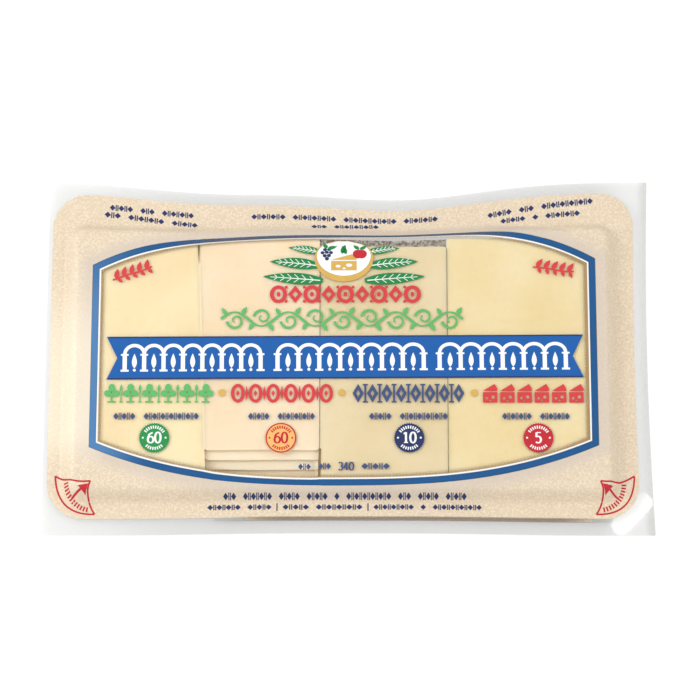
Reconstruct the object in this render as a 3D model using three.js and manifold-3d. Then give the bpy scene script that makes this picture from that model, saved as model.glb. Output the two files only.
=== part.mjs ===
// A flat vacuum pack of sliced cheese, lying face up: four stacks of slices side by side on a formed clear bottom film,
// a clear top film drawn down over them and sealed to it all round, and a printed label with a window in the middle.
// Millimetres. +Z up, +X to the right of the print, +Y towards the print's upper edge.
// The origin is under the middle of the pack, on the surface it lies on.
//
// The films are laid out flat first, in u across and v up, and drawn() then gives where each point of them lies.
import * as THREE from "three";
import { mergeVertices } from "three/addons/utils/BufferGeometryUtils.js";
import Module from "manifold-3d";

// Films
const FILM_WIDTH = 302;
const FILM_DEPTH = 183;
const FILM_GAUGE = 0.35;
const LABEL_GAUGE = 0.25;
const SEAL_GAP = 0.3;
const LABEL_GAP = 0.15;
const HALF_WIDTH = FILM_WIDTH / 2;
const HALF_DEPTH = FILM_DEPTH / 2;

// The block of cheese in the middle, as it bulges the films, and the slope of film round it, widest behind the middle
const BLOCK = { left: -135.5, right: 128, front: -69, back: 63, corner: 3 };
const SLOPE_WIDTH = 7;
const BACK_SLOPE_WIDTH = 14;
const FLOOR_MARGIN = 0.6;

// Slices
const SLICES = 4;
const SLICE_THICKNESS = 2.45;
const SLICE_GAP = 0.15;
const SLICE_CORNER = 2;
const STACK_FLOOR = FILM_GAUGE + SEAL_GAP;
const STACK_HEIGHT = SLICES * SLICE_THICKNESS + (SLICES - 1) * SLICE_GAP;
const BLOCK_TOP = STACK_FLOOR + STACK_HEIGHT + SEAL_GAP;
// Each stack's top slice by its front and back edges, as [y, left, right], and how far each lower slice slips out
const STACKS = [
  { name: "pale_stack", front: [-66.5, -129.7, -70.7], back: [59.4, -134.4, -75.4], slip: [0, 0], colour: 0xfbeec6 },
  { name: "cream_stack", front: [-50, -70.5, -14.9], back: [59.4, -74.7, -14.9], slip: [0.15, -4.4], colour: 0xfbe8c9 },
  { name: "straw_stack", front: [-67.5, -13.6, 48.9], back: [55.1, -13.6, 48.9], slip: [0, 0], colour: 0xf1dcae },
  { name: "golden_stack", front: [-66, 49.6, 123.1], back: [59.6, 49.6, 123.1], slip: [1, -0.3], colour: 0xf6dda6 },
];

// The height of the flange round the block, and how much lower its front edge is
const FLANGE_HEIGHT = 3.4;
const FRONT_SAG = 0.8;
// The vacuum gathers the back edge in at two places, and draws the front edge and the right edge in a little
const GATHERS = [
  { at: -66, depth: 5.7, reach: 51 },
  { at: 25, depth: 9.3, reach: 56 },
];
const GATHER_FROM = 47;
const GATHER_TO = 82;
const FRONT_DRAW = 1.2;
const RIGHT_DRAW = 2;
const BOW_FLAT = 20;
const BOW_END = 125;

// Print: the label's border and its window. The window's two ends are straight, and its long sides bulge by the share
// 1 - |t|^power, where t is -1 and 1 at the ends. Its lines slant a little up to the right
const LABEL = { left: -148.9, right: 144.2, bottom: -83.3, top: 85.6, corner: 18 };
const WINDOW = { x: -2.2, y: -0.8, halfWidth: 125.2, sideHalf: 47.7 };
const WINDOW_TOP = { bulge: 19.3, power: 3.5, slant: 0.019 };
const WINDOW_BOTTOM = { bulge: 20.1, power: 2.66, slant: 0.011 };
const BLUE_LINE = 3;
const WHITE_LINE = 1.15;
const PRINT_GAP = 0.2;
const BANNER = { left: -120, right: 116.6, bottom: -13.8, top: 8.2, notch: 5.3, tilt: 0.3 };
const BADGE_RADIUS = 7.6;
const BADGE_ROW = -44.2;
const BADGES = [
  { name: "green_badge", x: -95.7, colour: 0x2f9a52 },
  { name: "orange_badge", x: -33.3, colour: 0xf0a94e },
  { name: "navy_badge", x: 30, colour: 0x2a3a74 },
  { name: "red_badge", x: 93.6, colour: 0xc9202f },
];

// The opening slot punched through the bottom film at one front corner, so that the top film can be gripped
const SLOT = { inFromCorner: 15.6, width: 9.5, length: 26 };

const degrees = Math.PI / 180;
const lerp = THREE.MathUtils.lerp;
const ease = (from, to, value) => THREE.MathUtils.smoothstep(value, from, to);

// How much of the middle's pull a point feels: all of it near the middle, none at the ends
const bow = (u) => 1 - ease(BOW_FLAT, BOW_END, Math.abs(u));

// Where a point of the flat film lies in plan
function drawn(u, v) {
  const gathered = GATHERS.reduce((sum, { at, depth, reach }) => sum + depth * Math.exp(-(((u - at) / reach) ** 2)), 0);
  const back = gathered * ease(GATHER_FROM, GATHER_TO, v);
  const front = FRONT_DRAW * bow(u) * ease(60, HALF_DEPTH, -v);
  const right = RIGHT_DRAW * (1 - (v / HALF_DEPTH) ** 2) * ease(BLOCK.right, HALF_WIDTH, u);
  return [u - right, v - back + front];
}

// How far a point is outside the block's outline, negative inside it
function outsideBlock(u, v) {
  const du = Math.abs(u - (BLOCK.left + BLOCK.right) / 2) - (BLOCK.right - BLOCK.left) / 2 + BLOCK.corner;
  const dv = Math.abs(v - (BLOCK.front + BLOCK.back) / 2) - (BLOCK.back - BLOCK.front) / 2 + BLOCK.corner;
  return Math.hypot(Math.max(du, 0), Math.max(dv, 0)) + Math.min(Math.max(du, dv), 0) - BLOCK.corner;
}

const flangeHeight = (v) => FLANGE_HEIGHT - FRONT_SAG * ease(50, HALF_DEPTH, -v);
const slopeWidth = (u, v) => lerp(SLOPE_WIDTH, BACK_SLOPE_WIDTH, bow(u) * ease(0, 20, v));

// The underside of the top film, and the upper side of the bottom film
const topFilm = (u, v) => lerp(BLOCK_TOP, flangeHeight(v), ease(0, slopeWidth(u, v), outsideBlock(u, v)));
const bottomFilm = (u, v) =>
  lerp(FILM_GAUGE, flangeHeight(v) - SEAL_GAP, ease(FLOOR_MARGIN, slopeWidth(u, v), outsideBlock(u, v)));

// Grid lines along one direction of the film: close together on the slopes, wide apart elsewhere
function gridLines(low, high, blockLow, blockHigh, innerSteps, highSlope) {
  const slope = [0, 0.2, 0.4, 0.6, 0.8, 1].map((share) => share * SLOPE_WIDTH);
  const inner = [blockLow + BLOCK.corner, blockHigh - BLOCK.corner];
  const lines = [low, high, (low + blockLow - SLOPE_WIDTH) / 2, (high + blockHigh + highSlope.at(-1)) / 2];
  slope.forEach((s) => lines.push(blockLow - s));
  highSlope.forEach((s) => lines.push(blockHigh + s));
  for (let i = 0; i <= innerSteps; i += 1) lines.push(lerp(...inner, i / innerSteps));
  return lines.sort((a, b) => a - b);
}
const U_LINES = gridLines(-HALF_WIDTH, HALF_WIDTH, BLOCK.left, BLOCK.right, 12, [0, 1.4, 2.8, 4.2, 5.6, 7]);
const V_LINES = gridLines(-HALF_DEPTH, HALF_DEPTH, BLOCK.front, BLOCK.back, 4, [0, 1.4, 2.8, 4.2, 5.6, 7, 9, 11.5, 14]);

// A closed sheet over the whole film, between the height that low(u, v) gives and thickness above it
function sheetGeometry(low, thickness) {
  const columns = U_LINES.length;
  const rows = V_LINES.length;
  const layer = columns * rows;
  const positions = [];
  const faces = [];
  [0, thickness].forEach((rise) =>
    V_LINES.forEach((v) => U_LINES.forEach((u) => positions.push(...drawn(u, v), low(u, v) + rise))),
  );
  const quad = (a, b, c, d) => faces.push(a, b, c, a, c, d);
  for (let row = 0; row + 1 < rows; row += 1) {
    for (let column = 0; column + 1 < columns; column += 1) {
      const at = row * columns + column;
      quad(at, at + columns, at + columns + 1, at + 1);
      quad(at + layer, at + layer + 1, at + layer + columns + 1, at + layer + columns);
    }
  }
  for (let column = 0; column + 1 < columns; column += 1) {
    const far = (rows - 1) * columns + column;
    quad(column, column + 1, column + 1 + layer, column + layer);
    quad(far + 1, far, far + layer, far + 1 + layer);
  }
  for (let row = 0; row + 1 < rows; row += 1) {
    const left = row * columns;
    const right = left + columns - 1;
    quad(left + columns, left, left + layer, left + columns + layer);
    quad(right, right + columns, right + columns + layer, right + layer);
  }
  const geometry = new THREE.BufferGeometry();
  geometry.setAttribute("position", new THREE.Float32BufferAttribute(positions, 3));
  geometry.setIndex(faces);
  return geometry;
}

const wasm = await Module();
wasm.setup();

function solid(geometry) {
  const bare = geometry.clone();
  bare.deleteAttribute("normal");
  bare.deleteAttribute("uv");
  const merged = mergeVertices(bare, 1e-4);
  return new wasm.Manifold(
    new wasm.Mesh({
      numProp: 3,
      vertProperties: merged.attributes.position.array,
      triVerts: new Uint32Array(merged.index.array),
    }),
  );
}

function geometryOf(manifold) {
  const { vertProperties, triVerts } = manifold.getMesh();
  const geometry = new THREE.BufferGeometry();
  geometry.setAttribute("position", new THREE.BufferAttribute(vertProperties, 3));
  geometry.setIndex(new THREE.BufferAttribute(triVerts, 1));
  return geometry;
}

// A tall prism over a closed outline of plan points, for cutting a sheet to that outline
function prism(points) {
  const shape = new THREE.Shape(points.map(([x, y]) => new THREE.Vector2(x, y)));
  const height = 4 * BLOCK_TOP;
  return solid(new THREE.ExtrudeGeometry(shape, { depth: height, bevelEnabled: false }).translate(0, 0, -height / 4));
}

// Points along a circular arc, ends included
function arc(x, y, radius, from, to, steps) {
  return Array.from({ length: steps + 1 }, (_, i) => {
    const angle = lerp(from, to, i / steps);
    return [x + radius * Math.cos(angle), y + radius * Math.sin(angle)];
  });
}

// A straight run of points, ends included, close enough to follow the drawn-in film
function run([x0, y0], [x1, y1], steps) {
  return Array.from({ length: steps + 1 }, (_, i) => [lerp(x0, x1, i / steps), lerp(y0, y1, i / steps)]);
}

function turned(points, x, y, tilt) {
  const [c, s] = [Math.cos(tilt * degrees), Math.sin(tilt * degrees)];
  return points.map(([px, py]) => [x + (px - x) * c - (py - y) * s, y + (px - x) * s + (py - y) * c]);
}

function roundedOutline({ left, right, bottom, top, corner }, cornerSteps, topSteps) {
  const quarter = Math.PI / 2;
  return [
    ...arc(right - corner, bottom + corner, corner, -quarter, 0, cornerSteps),
    ...arc(right - corner, top - corner, corner, 0, quarter, cornerSteps),
    ...run([right - corner, top], [left + corner, top], topSteps).slice(1, -1),
    ...arc(left + corner, top - corner, corner, quarter, 2 * quarter, cornerSteps),
    ...arc(left + corner, bottom + corner, corner, 2 * quarter, 3 * quarter, cornerSteps),
  ];
}

// The window's outline, drawn in by inset all round
function windowOutline(inset) {
  const { x, y, halfWidth, sideHalf } = WINDOW;
  const half = halfWidth - inset;
  const steps = 18;
  const side = (sign, { bulge, power, slant }) =>
    Array.from({ length: steps + 1 }, (_, i) => {
      const u = lerp(-half, half, i / steps) * -sign;
      const t = Math.abs(u) / halfWidth;
      const steepness = (bulge * power * t ** (power - 1)) / halfWidth;
      const v = sideHalf + bulge * (1 - t ** power) - inset * Math.hypot(1, steepness);
      return [x + u, y + sign * v + slant * u];
    });
  return [...side(1, WINDOW_TOP), ...side(-1, WINDOW_BOTTOM)];
}

function bannerOutline() {
  const { left, right, bottom, top, notch, tilt } = BANNER;
  const middle = (top + bottom) / 2;
  const points = [
    [left, bottom],
    [right, bottom],
    [right - notch, middle],
    [right, top],
    [left, top],
    [left + notch, middle],
  ];
  return turned(points, (left + right) / 2, middle, tilt);
}

function slotOutline() {
  const { inFromCorner, width, length } = SLOT;
  const radius = width / 2;
  const reach = length / 2 - radius;
  const away = inFromCorner / Math.SQRT2;
  const level = [
    ...arc(reach, 0, radius, -Math.PI / 2, Math.PI / 2, 8),
    ...arc(-reach, 0, radius, Math.PI / 2, (3 * Math.PI) / 2, 8),
  ];
  return turned(level, 0, 0, 45).map(([x, y]) => [x + HALF_WIDTH - away, y - HALF_DEPTH + away]);
}

const pack = new THREE.Group();

function add(name, geometry, colour, roughness, extra = {}) {
  const material = new THREE.MeshStandardMaterial({ color: colour, roughness, metalness: 0, ...extra });
  const mesh = new THREE.Mesh(geometry, material);
  mesh.name = name;
  pack.add(mesh);
  return mesh;
}

function addFilms() {
  const clear = { transparent: true, opacity: 0.3 };
  const bottom = solid(sheetGeometry((u, v) => bottomFilm(u, v) - FILM_GAUGE, FILM_GAUGE));
  add("bottom_film", geometryOf(bottom.subtract(prism(slotOutline()))), 0xdfe2e2, 0.2, clear);
  add("top_film", sheetGeometry(topFilm, FILM_GAUGE), 0xf2f3f2, 0.12, clear);
}

// Points round a four-cornered outline whose corners are rounded off
function softCorners(corners, size, steps) {
  return corners.flatMap((corner, i) => {
    const towards = (other) => {
      const share = size / Math.hypot(other[0] - corner[0], other[1] - corner[1]);
      return [lerp(corner[0], other[0], share), lerp(corner[1], other[1], share)];
    };
    const from = towards(corners[(i + 3) % 4]);
    const to = towards(corners[(i + 1) % 4]);
    return Array.from({ length: steps + 1 }, (_, step) => {
      const t = step / steps;
      return [0, 1].map((axis) => lerp(lerp(from[axis], corner[axis], t), lerp(corner[axis], to[axis], t), t));
    });
  });
}

// One slice of a stack, 0 at the bottom. The lower a slice lies, the further it has slipped out from under the top one
function addSlice(stack, level) {
  const below = SLICES - 1 - level;
  const [frontY, frontLeft, frontRight] = stack.front;
  const [backY, backLeft, backRight] = stack.back;
  const corners = [
    [frontLeft, frontY],
    [frontRight, frontY],
    [backRight, backY],
    [backLeft, backY],
  ];
  const outline = softCorners(corners, SLICE_CORNER, 3);
  const shape = new THREE.Shape(outline.map(([x, y]) => new THREE.Vector2(x, y)));
  const geometry = new THREE.ExtrudeGeometry(shape, { depth: SLICE_THICKNESS, bevelEnabled: false });
  const slice = add(`${stack.name}_slice_${level + 1}`, geometry, stack.colour, 0.55);
  const height = STACK_FLOOR + level * (SLICE_THICKNESS + SLICE_GAP);
  slice.position.set(below * stack.slip[0], below * stack.slip[1], height);
}

function addPrint() {
  const layer = solid(sheetGeometry((u, v) => topFilm(u, v) + FILM_GAUGE + LABEL_GAP, LABEL_GAUGE));
  const placed = (outline) => prism(outline.map(([u, v]) => drawn(u, v)));
  const field = (name, outline, colour) => add(name, geometryOf(layer.intersect(placed(outline))), colour, 0.5);
  const ring = (name, outer, inner, colour) =>
    add(name, geometryOf(layer.intersect(placed(outer)).subtract(placed(inner))), colour, 0.5);
  const blueInner = BLUE_LINE - PRINT_GAP;
  ring("label_border", roundedOutline(LABEL, 7, 14), windowOutline(-PRINT_GAP), 0xe6d2b5);
  ring("window_blue_line", windowOutline(0), windowOutline(blueInner), 0x2566a8);
  ring("window_white_line", windowOutline(BLUE_LINE), windowOutline(BLUE_LINE + WHITE_LINE), 0xfbfbf8);
  field("banner", bannerOutline(), 0x1d66b0);
  BADGES.forEach(({ name, x, colour }) =>
    field(name, arc(x, BADGE_ROW, BADGE_RADIUS, 0, 2 * Math.PI, 24).slice(0, -1), colour),
  );
}

addFilms();
STACKS.forEach((stack) => {
  for (let level = 0; level < SLICES; level += 1) addSlice(stack, level);
});
addPrint();

export default pack;
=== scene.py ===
"""A flat clear vacuum pack of sliced cheese: two films, four stacks of slices, and the print."""
import math

import bpy
import numpy as np
from bpy.props import FloatProperty, FloatVectorProperty, PointerProperty
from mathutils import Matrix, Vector
from mathutils.geometry import delaunay_2d_cdt


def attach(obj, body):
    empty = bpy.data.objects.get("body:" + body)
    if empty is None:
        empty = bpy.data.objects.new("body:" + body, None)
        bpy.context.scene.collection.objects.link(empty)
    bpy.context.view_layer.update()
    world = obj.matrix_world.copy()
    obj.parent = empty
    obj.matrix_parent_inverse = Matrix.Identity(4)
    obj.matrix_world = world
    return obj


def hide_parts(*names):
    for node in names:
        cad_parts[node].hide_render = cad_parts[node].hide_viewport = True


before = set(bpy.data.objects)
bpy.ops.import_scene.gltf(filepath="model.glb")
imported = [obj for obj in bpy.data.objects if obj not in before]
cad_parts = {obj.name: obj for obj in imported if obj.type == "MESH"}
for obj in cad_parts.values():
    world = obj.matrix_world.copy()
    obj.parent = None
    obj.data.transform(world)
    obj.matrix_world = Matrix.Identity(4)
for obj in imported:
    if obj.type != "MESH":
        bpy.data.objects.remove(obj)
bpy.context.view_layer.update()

bl_info = {
    "name": "Sliced Cheese Pack",
    "version": (1, 0, 0),
    "blender": (4, 5, 0),
    "location": "3D View > Sidebar > Cheese Pack",
    "description": "Builds a flat vacuum pack of sliced cheese with its films, slices, label and print",
    "category": "Object",
}

MM = 0.001

# The films as they are laid out flat, in millimetres: u across and v up, as in the part's source
FILM_WIDTH = 302.0
FILM_DEPTH = 183.0
HALF_WIDTH = FILM_WIDTH / 2
HALF_DEPTH = FILM_DEPTH / 2
FILM_GAUGE = 0.35
LABEL_GAUGE = 0.25
SEAL_GAP = 0.3
LABEL_GAP = 0.15
PRINT_BASE = FILM_GAUGE + LABEL_GAP

# The block of cheese in the middle, and the slope of film round it, widest behind the middle
BLOCK_LEFT, BLOCK_RIGHT, BLOCK_FRONT, BLOCK_BACK, BLOCK_CORNER = -135.5, 128.0, -69.0, 63.0, 3.0
SLOPE_WIDTH = 7.0
BACK_SLOPE_WIDTH = 14.0
FLOOR_MARGIN = 0.6

# Slices
SLICES = 4
SLICE_THICKNESS = 2.45
SLICE_GAP = 0.15
STACK_FLOOR = FILM_GAUGE + SEAL_GAP
BLOCK_TOP = STACK_FLOOR + SLICES * SLICE_THICKNESS + (SLICES - 1) * SLICE_GAP + SEAL_GAP
# Each stack's top slice by its front and back edge, as (y, left, right), and how far a lower slice slips out
STACKS = {
    "pale": ((-66.5, -129.7, -70.3), (59.4, -134.4, -75.05), (0.0, 0.0)),
    "cream": ((-50.0, -70.98, -14.3), (59.4, -75.1, -14.3), (0.15, -4.4)),
    "straw": ((-67.5, -14.15, 49.1), (55.1, -14.15, 49.1), (0.0, 0.0)),
    "golden": ((-66.0, 49.25, 123.1), (59.6, 49.25, 123.1), (1.0, -0.3)),
}
# The seams between the stacks, as x at the block's front and at its back
SEAMS = ((-70.3, -75.1), (-14.2, -14.2), (49.2, 49.2))

# The flange round the block, and how much lower its front edge is
FLANGE_HEIGHT = 3.4
FRONT_SAG = 0.8
# The vacuum gathers the back edge in at two places, as (place, depth, reach), and draws two other edges in
GATHERS = ((-66.0, 5.7, 51.0), (25.0, 9.3, 56.0))
GATHER_FROM, GATHER_TO = 47.0, 82.0
FRONT_DRAW = 1.2
RIGHT_DRAW = 2.0
BOW_FLAT, BOW_END = 20.0, 125.0

# The film's small forms. A patch is its soft left, right, front and back side, each as (start, full)
GROOVE_REACH = 1.5
FAN_PATCH = ((-72, -66), (-13.5, -18), (-68.5, -63), (-51, -55))
SLACK_PATCH = ((-15, -11), (50.5, 47), (56.5, 59), (63.5, 61))
SLACK_DEPTH, SLACK_WAVE = 0.8, 0.25
CREASE_X, CREASE_Y, CREASE_BEND = 70, 73.5, 0.0039
CREASE_RIDGE, CREASE_DEPTH = 0.25, 1.2

# Print
LABEL = (-148.9, 144.2, -83.3, 85.6)
LABEL_CORNER = 18.0
WINDOW_X, WINDOW_Y, WINDOW_HALF_WIDTH, WINDOW_SIDE_HALF = -2.2, -0.8, 125.2, 47.3
# The window's upper and lower line, as (bulge, power, slant, wave): the film's pull waves the upper one
WINDOW_TOP = (19.6, 3.5, 0.014, 1.5)
WINDOW_BOTTOM = (20.1, 2.66, 0.004, 0.0)
# The blue line is thinner behind the middle stacks
BLUE_LINE = 3.0
BLUE_OVER = 0.3
BLUE_THINNER = 1.1
WHITE_THINNER = 0.5
WHITE_LINE = 1.15
PRINT_GAP = 0.2
BANNER_LEFT, BANNER_RIGHT, BANNER_BOTTOM, BANNER_TOP = -120.0, 116.6, -13.8, 8.2
BANNER_MIDDLE = (BANNER_TOP + BANNER_BOTTOM) / 2
BANNER_NOTCH, BANNER_TILT = 5.3, 0.3
BADGE_RADIUS = 7.6
BADGE_ROW = -44.2
BADGES = {"green": (-95.7, "60"), "orange": (-33.3, "60"), "navy": (30.0, "10"), "red": (93.6, "5")}

# The slack film behind the third stack, crumpled by the vacuum
FOLD_LEFT, FOLD_RIGHT, FOLD_FRONT, FOLD_BACK = -14.6, 49.0, 55.8, 62.2
FOLD_DEPTH, FOLD_CRUMPLE, FOLD_GAUGE = 0.9, 0.32, 0.2

# The opening slot through the bottom film
SLOT_IN_FROM_CORNER, SLOT_WIDTH, SLOT_LENGTH = 15.6, 9.5, 26.0

# How thin pieces are laid: ornament on the label or another ground, and a painted tone just under the top
# film
ON_PRINT = LABEL_GAUGE + 0.01
UNDER_FILM = -0.06 - PRINT_BASE
SHADE_GAUGE = 0.05
# The medallion's layers are finer, so that they lie over one another without standing out
FINE_GAUGE = 0.05
OVER_LEAVES = 0.13

# The ornaments' places
MEDALLION_X, MEDALLION_Y = -2.3, 49.6
CHAIN_X, CHAIN_Y, CHAIN_PITCH, CHAIN_LINKS = -1.55, 29.8, 8.35, 9
VINE_LEFT, VINE_RIGHT, VINE_Y, VINE_BENDS = -63.5, 57.0, 16.9, 9
FRIEZE = ((-111.0, -43.6, 7), (-35.2, 37.3, 7), (45.2, 107.8, 6))
ROW_Y, ROW_HALF_HEIGHT = -21.4, 4.8
DOTS_X = (-62.6, -3.2, 62.3)
WEIGHT_X, WEIGHT_Y = -1.2, -58.6
SPRAYS = ((-108.3, 41.8, 12), (102.8, 43.9, -15))
# Fine rows, as (left, right, y, half height, lozenges in each group, tilt in degrees)
ROWS_OVER_CHEESE = (
    (-116.2, -73.8, -33.2, 1.8, (3, 7), 0.0),
    (-49.6, -16.5, -33.2, 1.8, (3, 5), 0.0),
    (10.1, 49.1, -33.2, 1.8, (3, 6), 0.0),
    (75.8, 109.3, -33.2, 1.8, (4, 4), 0.0),
    (-24.8, -8.6, -58.6, 1.6, (2, 2), 0.0),
    (6.2, 20.4, -58.6, 1.6, (3,), 0.0),
)
ROWS_IN_FRONT = (
    (-61.7, 58.2, -73.1, 1.45, (2, 4, 3, 3, 1, 6, 2, 3, 3), 0.0),
    (-69.6, -37.8, -78.0, 1.4, (4, 3), 0.0),
    (-32.6, 7.0, -78.0, 1.4, (3, 5), 0.0),
    (12.2, 65.7, -78.0, 1.4, (5, 1, 6), 0.0),
)
BARS_IN_FRONT = ((-35.2, -78.0), (9.6, -78.0))
ROWS_BEHIND = (
    (-120.7, -78.0, 79.3, 1.6, (3, 2, 4), -1.0),
    (-123.3, -75.9, 74.4, 1.6, (2, 4, 3), -3.3),
    (-49.2, 45.2, 79.8, 1.5, (4, 5, 6, 4), 0.3),
    (-18.9, 15.4, 75.0, 1.5, (2, 5), 4.0),
    (70.0, 123.7, 80.0, 1.6, (3, 2, 6), 4.0),
    (76.5, 117.0, 74.7, 1.5, (3, 1, 4), 2.5),
)

# The studio: a camera far off with a long lens, looking down from the front, and a softbox at each side
CAMERA_AWAY = 1.6
CAMERA_ELEVATION = 74
CAMERA_LENS = 164.57
AIM_X, AIM_UP_THE_PICTURE = 0.75, 4.0
FLOOR_REACH = 3000.0
FLOOR_GLOW = 0.6
SKY_STRENGTH = 0.86
# As (name, place in metres, width in metres, watts)
SOFTBOXES = (
    ("left softbox", (-0.9, 0.0, 0.9), 0.8, 6.8),
    ("right softbox", (1.1, 0.0, 1.1), 0.8, 3.4),
)


def linear(hex_colour):
    """The linear colour of an sRGB hex value such as "fff0be"."""
    channels = [int(hex_colour[i:i + 2], 16) / 255 for i in (0, 2, 4)]
    return tuple(c / 12.92 if c <= 0.04045 else ((c + 0.055) / 1.055) ** 2.4 for c in channels)


def size(label, description, millimetres):
    return FloatProperty(name=label, description=description, default=millimetres * MM, min=0.0,
                         unit="LENGTH", precision=5)


def colour(label, description, hex_colour):
    return FloatVectorProperty(name=label, description=description, default=linear(hex_colour),
                               min=0.0, max=1.0, subtype="COLOR")


class CheesePackSizes(bpy.types.PropertyGroup):
    """Sizes that a user would change"""
    slice_rounding: size("Slice rounding", "Rounding of a slice's cut edges", 0.18)
    seam_groove: size("Seam groove", "How far the film is drawn down into the seams between the stacks", 0.15)
    fan_dip: size("Fan dip", "How far the film sinks over the slices that have slipped forwards", 1.1)
    film_ripple: size("Film ripple", "Height of the slack film's ripples", 0.12)
    print_gauge: size("Print thickness", "Thickness of the small printed ornaments", 0.1)


class CheesePackColours(bpy.types.PropertyGroup):
    """Colours that a user would change"""
    pale: colour("Pale cheese", "The first stack's colour", "f8e3b9")
    cream: colour("Cream cheese", "The second stack's colour", "f8e0c3")
    straw: colour("Straw cheese", "The third stack's colour", "e9d7b3")
    golden: colour("Golden cheese", "The fourth stack's colour", "f1ddb3")
    paper: colour("Label", "The label's parchment colour", "ecdabf")
    halo: colour("Label round the window", "The label's plainer colour next to the window", "d6c7b6")
    blue: colour("Blue ink", "The banner", "0657a2")
    line_blue: colour("Line blue ink", "The line round the window", "084f85")
    white: colour("White ink", "The white line and the banner's ornament", "f0f0ee")
    red: colour("Red ink", "The red badge and the corner marks", "bc1f2c")
    title_red: colour("Light red ink", "The red ornaments over the cheese", "cf3a3e")
    green: colour("Green ink", "The green badge", "1c8a44")
    leaf_green: colour("Leaf green ink", "The palm leaves", "17803e")
    light_green: colour("Light green ink", "The vine and the green row", "5bb163")
    navy: colour("Navy ink", "The lines on the label and the navy badge", "1f2d5e")
    slate: colour("Slate ink", "The lines over the cheese", "3c4d76")
    orange: colour("Orange ink", "The orange badge's field", "f2b56c")
    gold: colour("Gold ink", "The medallion's rim and the dots of the rows", "d0a548")


# The film's form


def ease(low, high, value):
    share = np.clip((value - low) / (high - low), 0.0, 1.0)
    return share * share * (3 - 2 * share)


def mix(low, high, share):
    return low + (high - low) * share


def bow(u):
    """How much of the middle's pull a point feels: all of it near the middle, none at the ends."""
    return 1 - ease(BOW_FLAT, BOW_END, np.abs(u))


def drawn(u, v):
    """Where a point of the flat film lies in plan."""
    gathered = sum(depth * np.exp(-((u - place) / reach) ** 2) for place, depth, reach in GATHERS)
    back = gathered * ease(GATHER_FROM, GATHER_TO, v)
    front = FRONT_DRAW * bow(u) * ease(60, HALF_DEPTH, -v)
    right = RIGHT_DRAW * (1 - (v / HALF_DEPTH) ** 2) * ease(BLOCK_RIGHT, HALF_WIDTH, u)
    return u - right, v - back + front


def outside_block(u, v):
    """How far a point is outside the block's outline, negative inside it."""
    du = np.abs(u - (BLOCK_LEFT + BLOCK_RIGHT) / 2) - (BLOCK_RIGHT - BLOCK_LEFT) / 2 + BLOCK_CORNER
    dv = np.abs(v - (BLOCK_FRONT + BLOCK_BACK) / 2) - (BLOCK_BACK - BLOCK_FRONT) / 2 + BLOCK_CORNER
    return np.hypot(np.maximum(du, 0), np.maximum(dv, 0)) + np.minimum(np.maximum(du, dv), 0) - BLOCK_CORNER


def flange_height(v):
    return FLANGE_HEIGHT - FRONT_SAG * ease(50, HALF_DEPTH, -v)


def slope_width(u, v):
    return mix(SLOPE_WIDTH, BACK_SLOPE_WIDTH, bow(u) * ease(0, 20, v))


def patch(u, v, left, right, front, back):
    return ease(*front, v) * ease(*back, v) * ease(*left, u) * ease(*right, u)


def relief(u, v):
    """The film's small forms: seam grooves, a dip over the slipped slices, slack, ripples and a crease."""
    sizes = bpy.context.scene.cheese_pack_sizes
    on_block = ease(0, 4, -outside_block(u, v))
    height = np.zeros_like(u)
    for front, back in SEAMS:
        seam = mix(front, back, (v - BLOCK_FRONT) / (BLOCK_BACK - BLOCK_FRONT))
        height -= sizes.seam_groove / MM * on_block * np.exp(-((u - seam) / GROOVE_REACH) ** 2)
    height -= sizes.fan_dip / MM * patch(u, v, *FAN_PATCH)
    slack = SLACK_DEPTH + SLACK_WAVE * np.sin(u * 1.1 + 2 * np.sin(v / 2))
    height -= slack * patch(u, v, *SLACK_PATCH)
    ripple = sizes.film_ripple / MM
    wave = np.sin(u / 4.9 + 1.7 * np.sin(v / 13)) * np.sin(u / 17 + 1.1) * ease(58, 90, v)
    wave += 0.7 * np.sin((u + v) / 8.5) * np.sin((u - 1.6 * v) / 21 + 0.4)
    height += ripple * (1 - on_block) * wave * 1.4
    swell = np.sin(u / 19 + np.sin(v / 23)) + np.sin(v / 15 - 0.6 * np.sin(u / 31)) - 2
    height += ripple * on_block * 0.5 * swell
    crease = CREASE_Y - CREASE_BEND * (u - CREASE_X) ** 2
    crease_share = ease(68, 84, u) * ease(134, 118, u)
    height += CREASE_RIDGE * crease_share * np.exp(-((v - crease) / 1.4) ** 2)
    height -= CREASE_DEPTH * crease_share * np.exp(-((v - crease + 2.7) / 1.5) ** 2)
    return height


def lid_height(u, v):
    """The underside of the top film."""
    smooth = mix(BLOCK_TOP, flange_height(v), ease(0, slope_width(u, v), outside_block(u, v)))
    from_rim = np.minimum(HALF_WIDTH - np.abs(u), HALF_DEPTH - np.abs(v))
    return smooth + relief(u, v) * ease(0, 2.5, from_rim)


def tray_height(u, v):
    """The upper side of the bottom film."""
    share = ease(FLOOR_MARGIN, slope_width(u, v), outside_block(u, v))
    return mix(FILM_GAUGE, flange_height(v) - SEAL_GAP, share)


# Outlines and flat parts, in millimetres. A flat part is (points, faces)


def ellipse(x, y, half_width, half_height, steps=28):
    turn = np.linspace(0, 2 * math.pi, steps, endpoint=False)
    return np.stack((x + half_width * np.cos(turn), y + half_height * np.sin(turn)), 1)


def lozenge(x, y, half_width, half_height):
    return np.array([(x + half_width, y), (x, y + half_height), (x - half_width, y), (x, y - half_height)])


def turned(points, x, y, degrees):
    c, s = math.cos(math.radians(degrees)), math.sin(math.radians(degrees))
    px, py = points[:, 0] - x, points[:, 1] - y
    return np.stack((x + px * c - py * s, y + px * s + py * c), 1)


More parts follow.
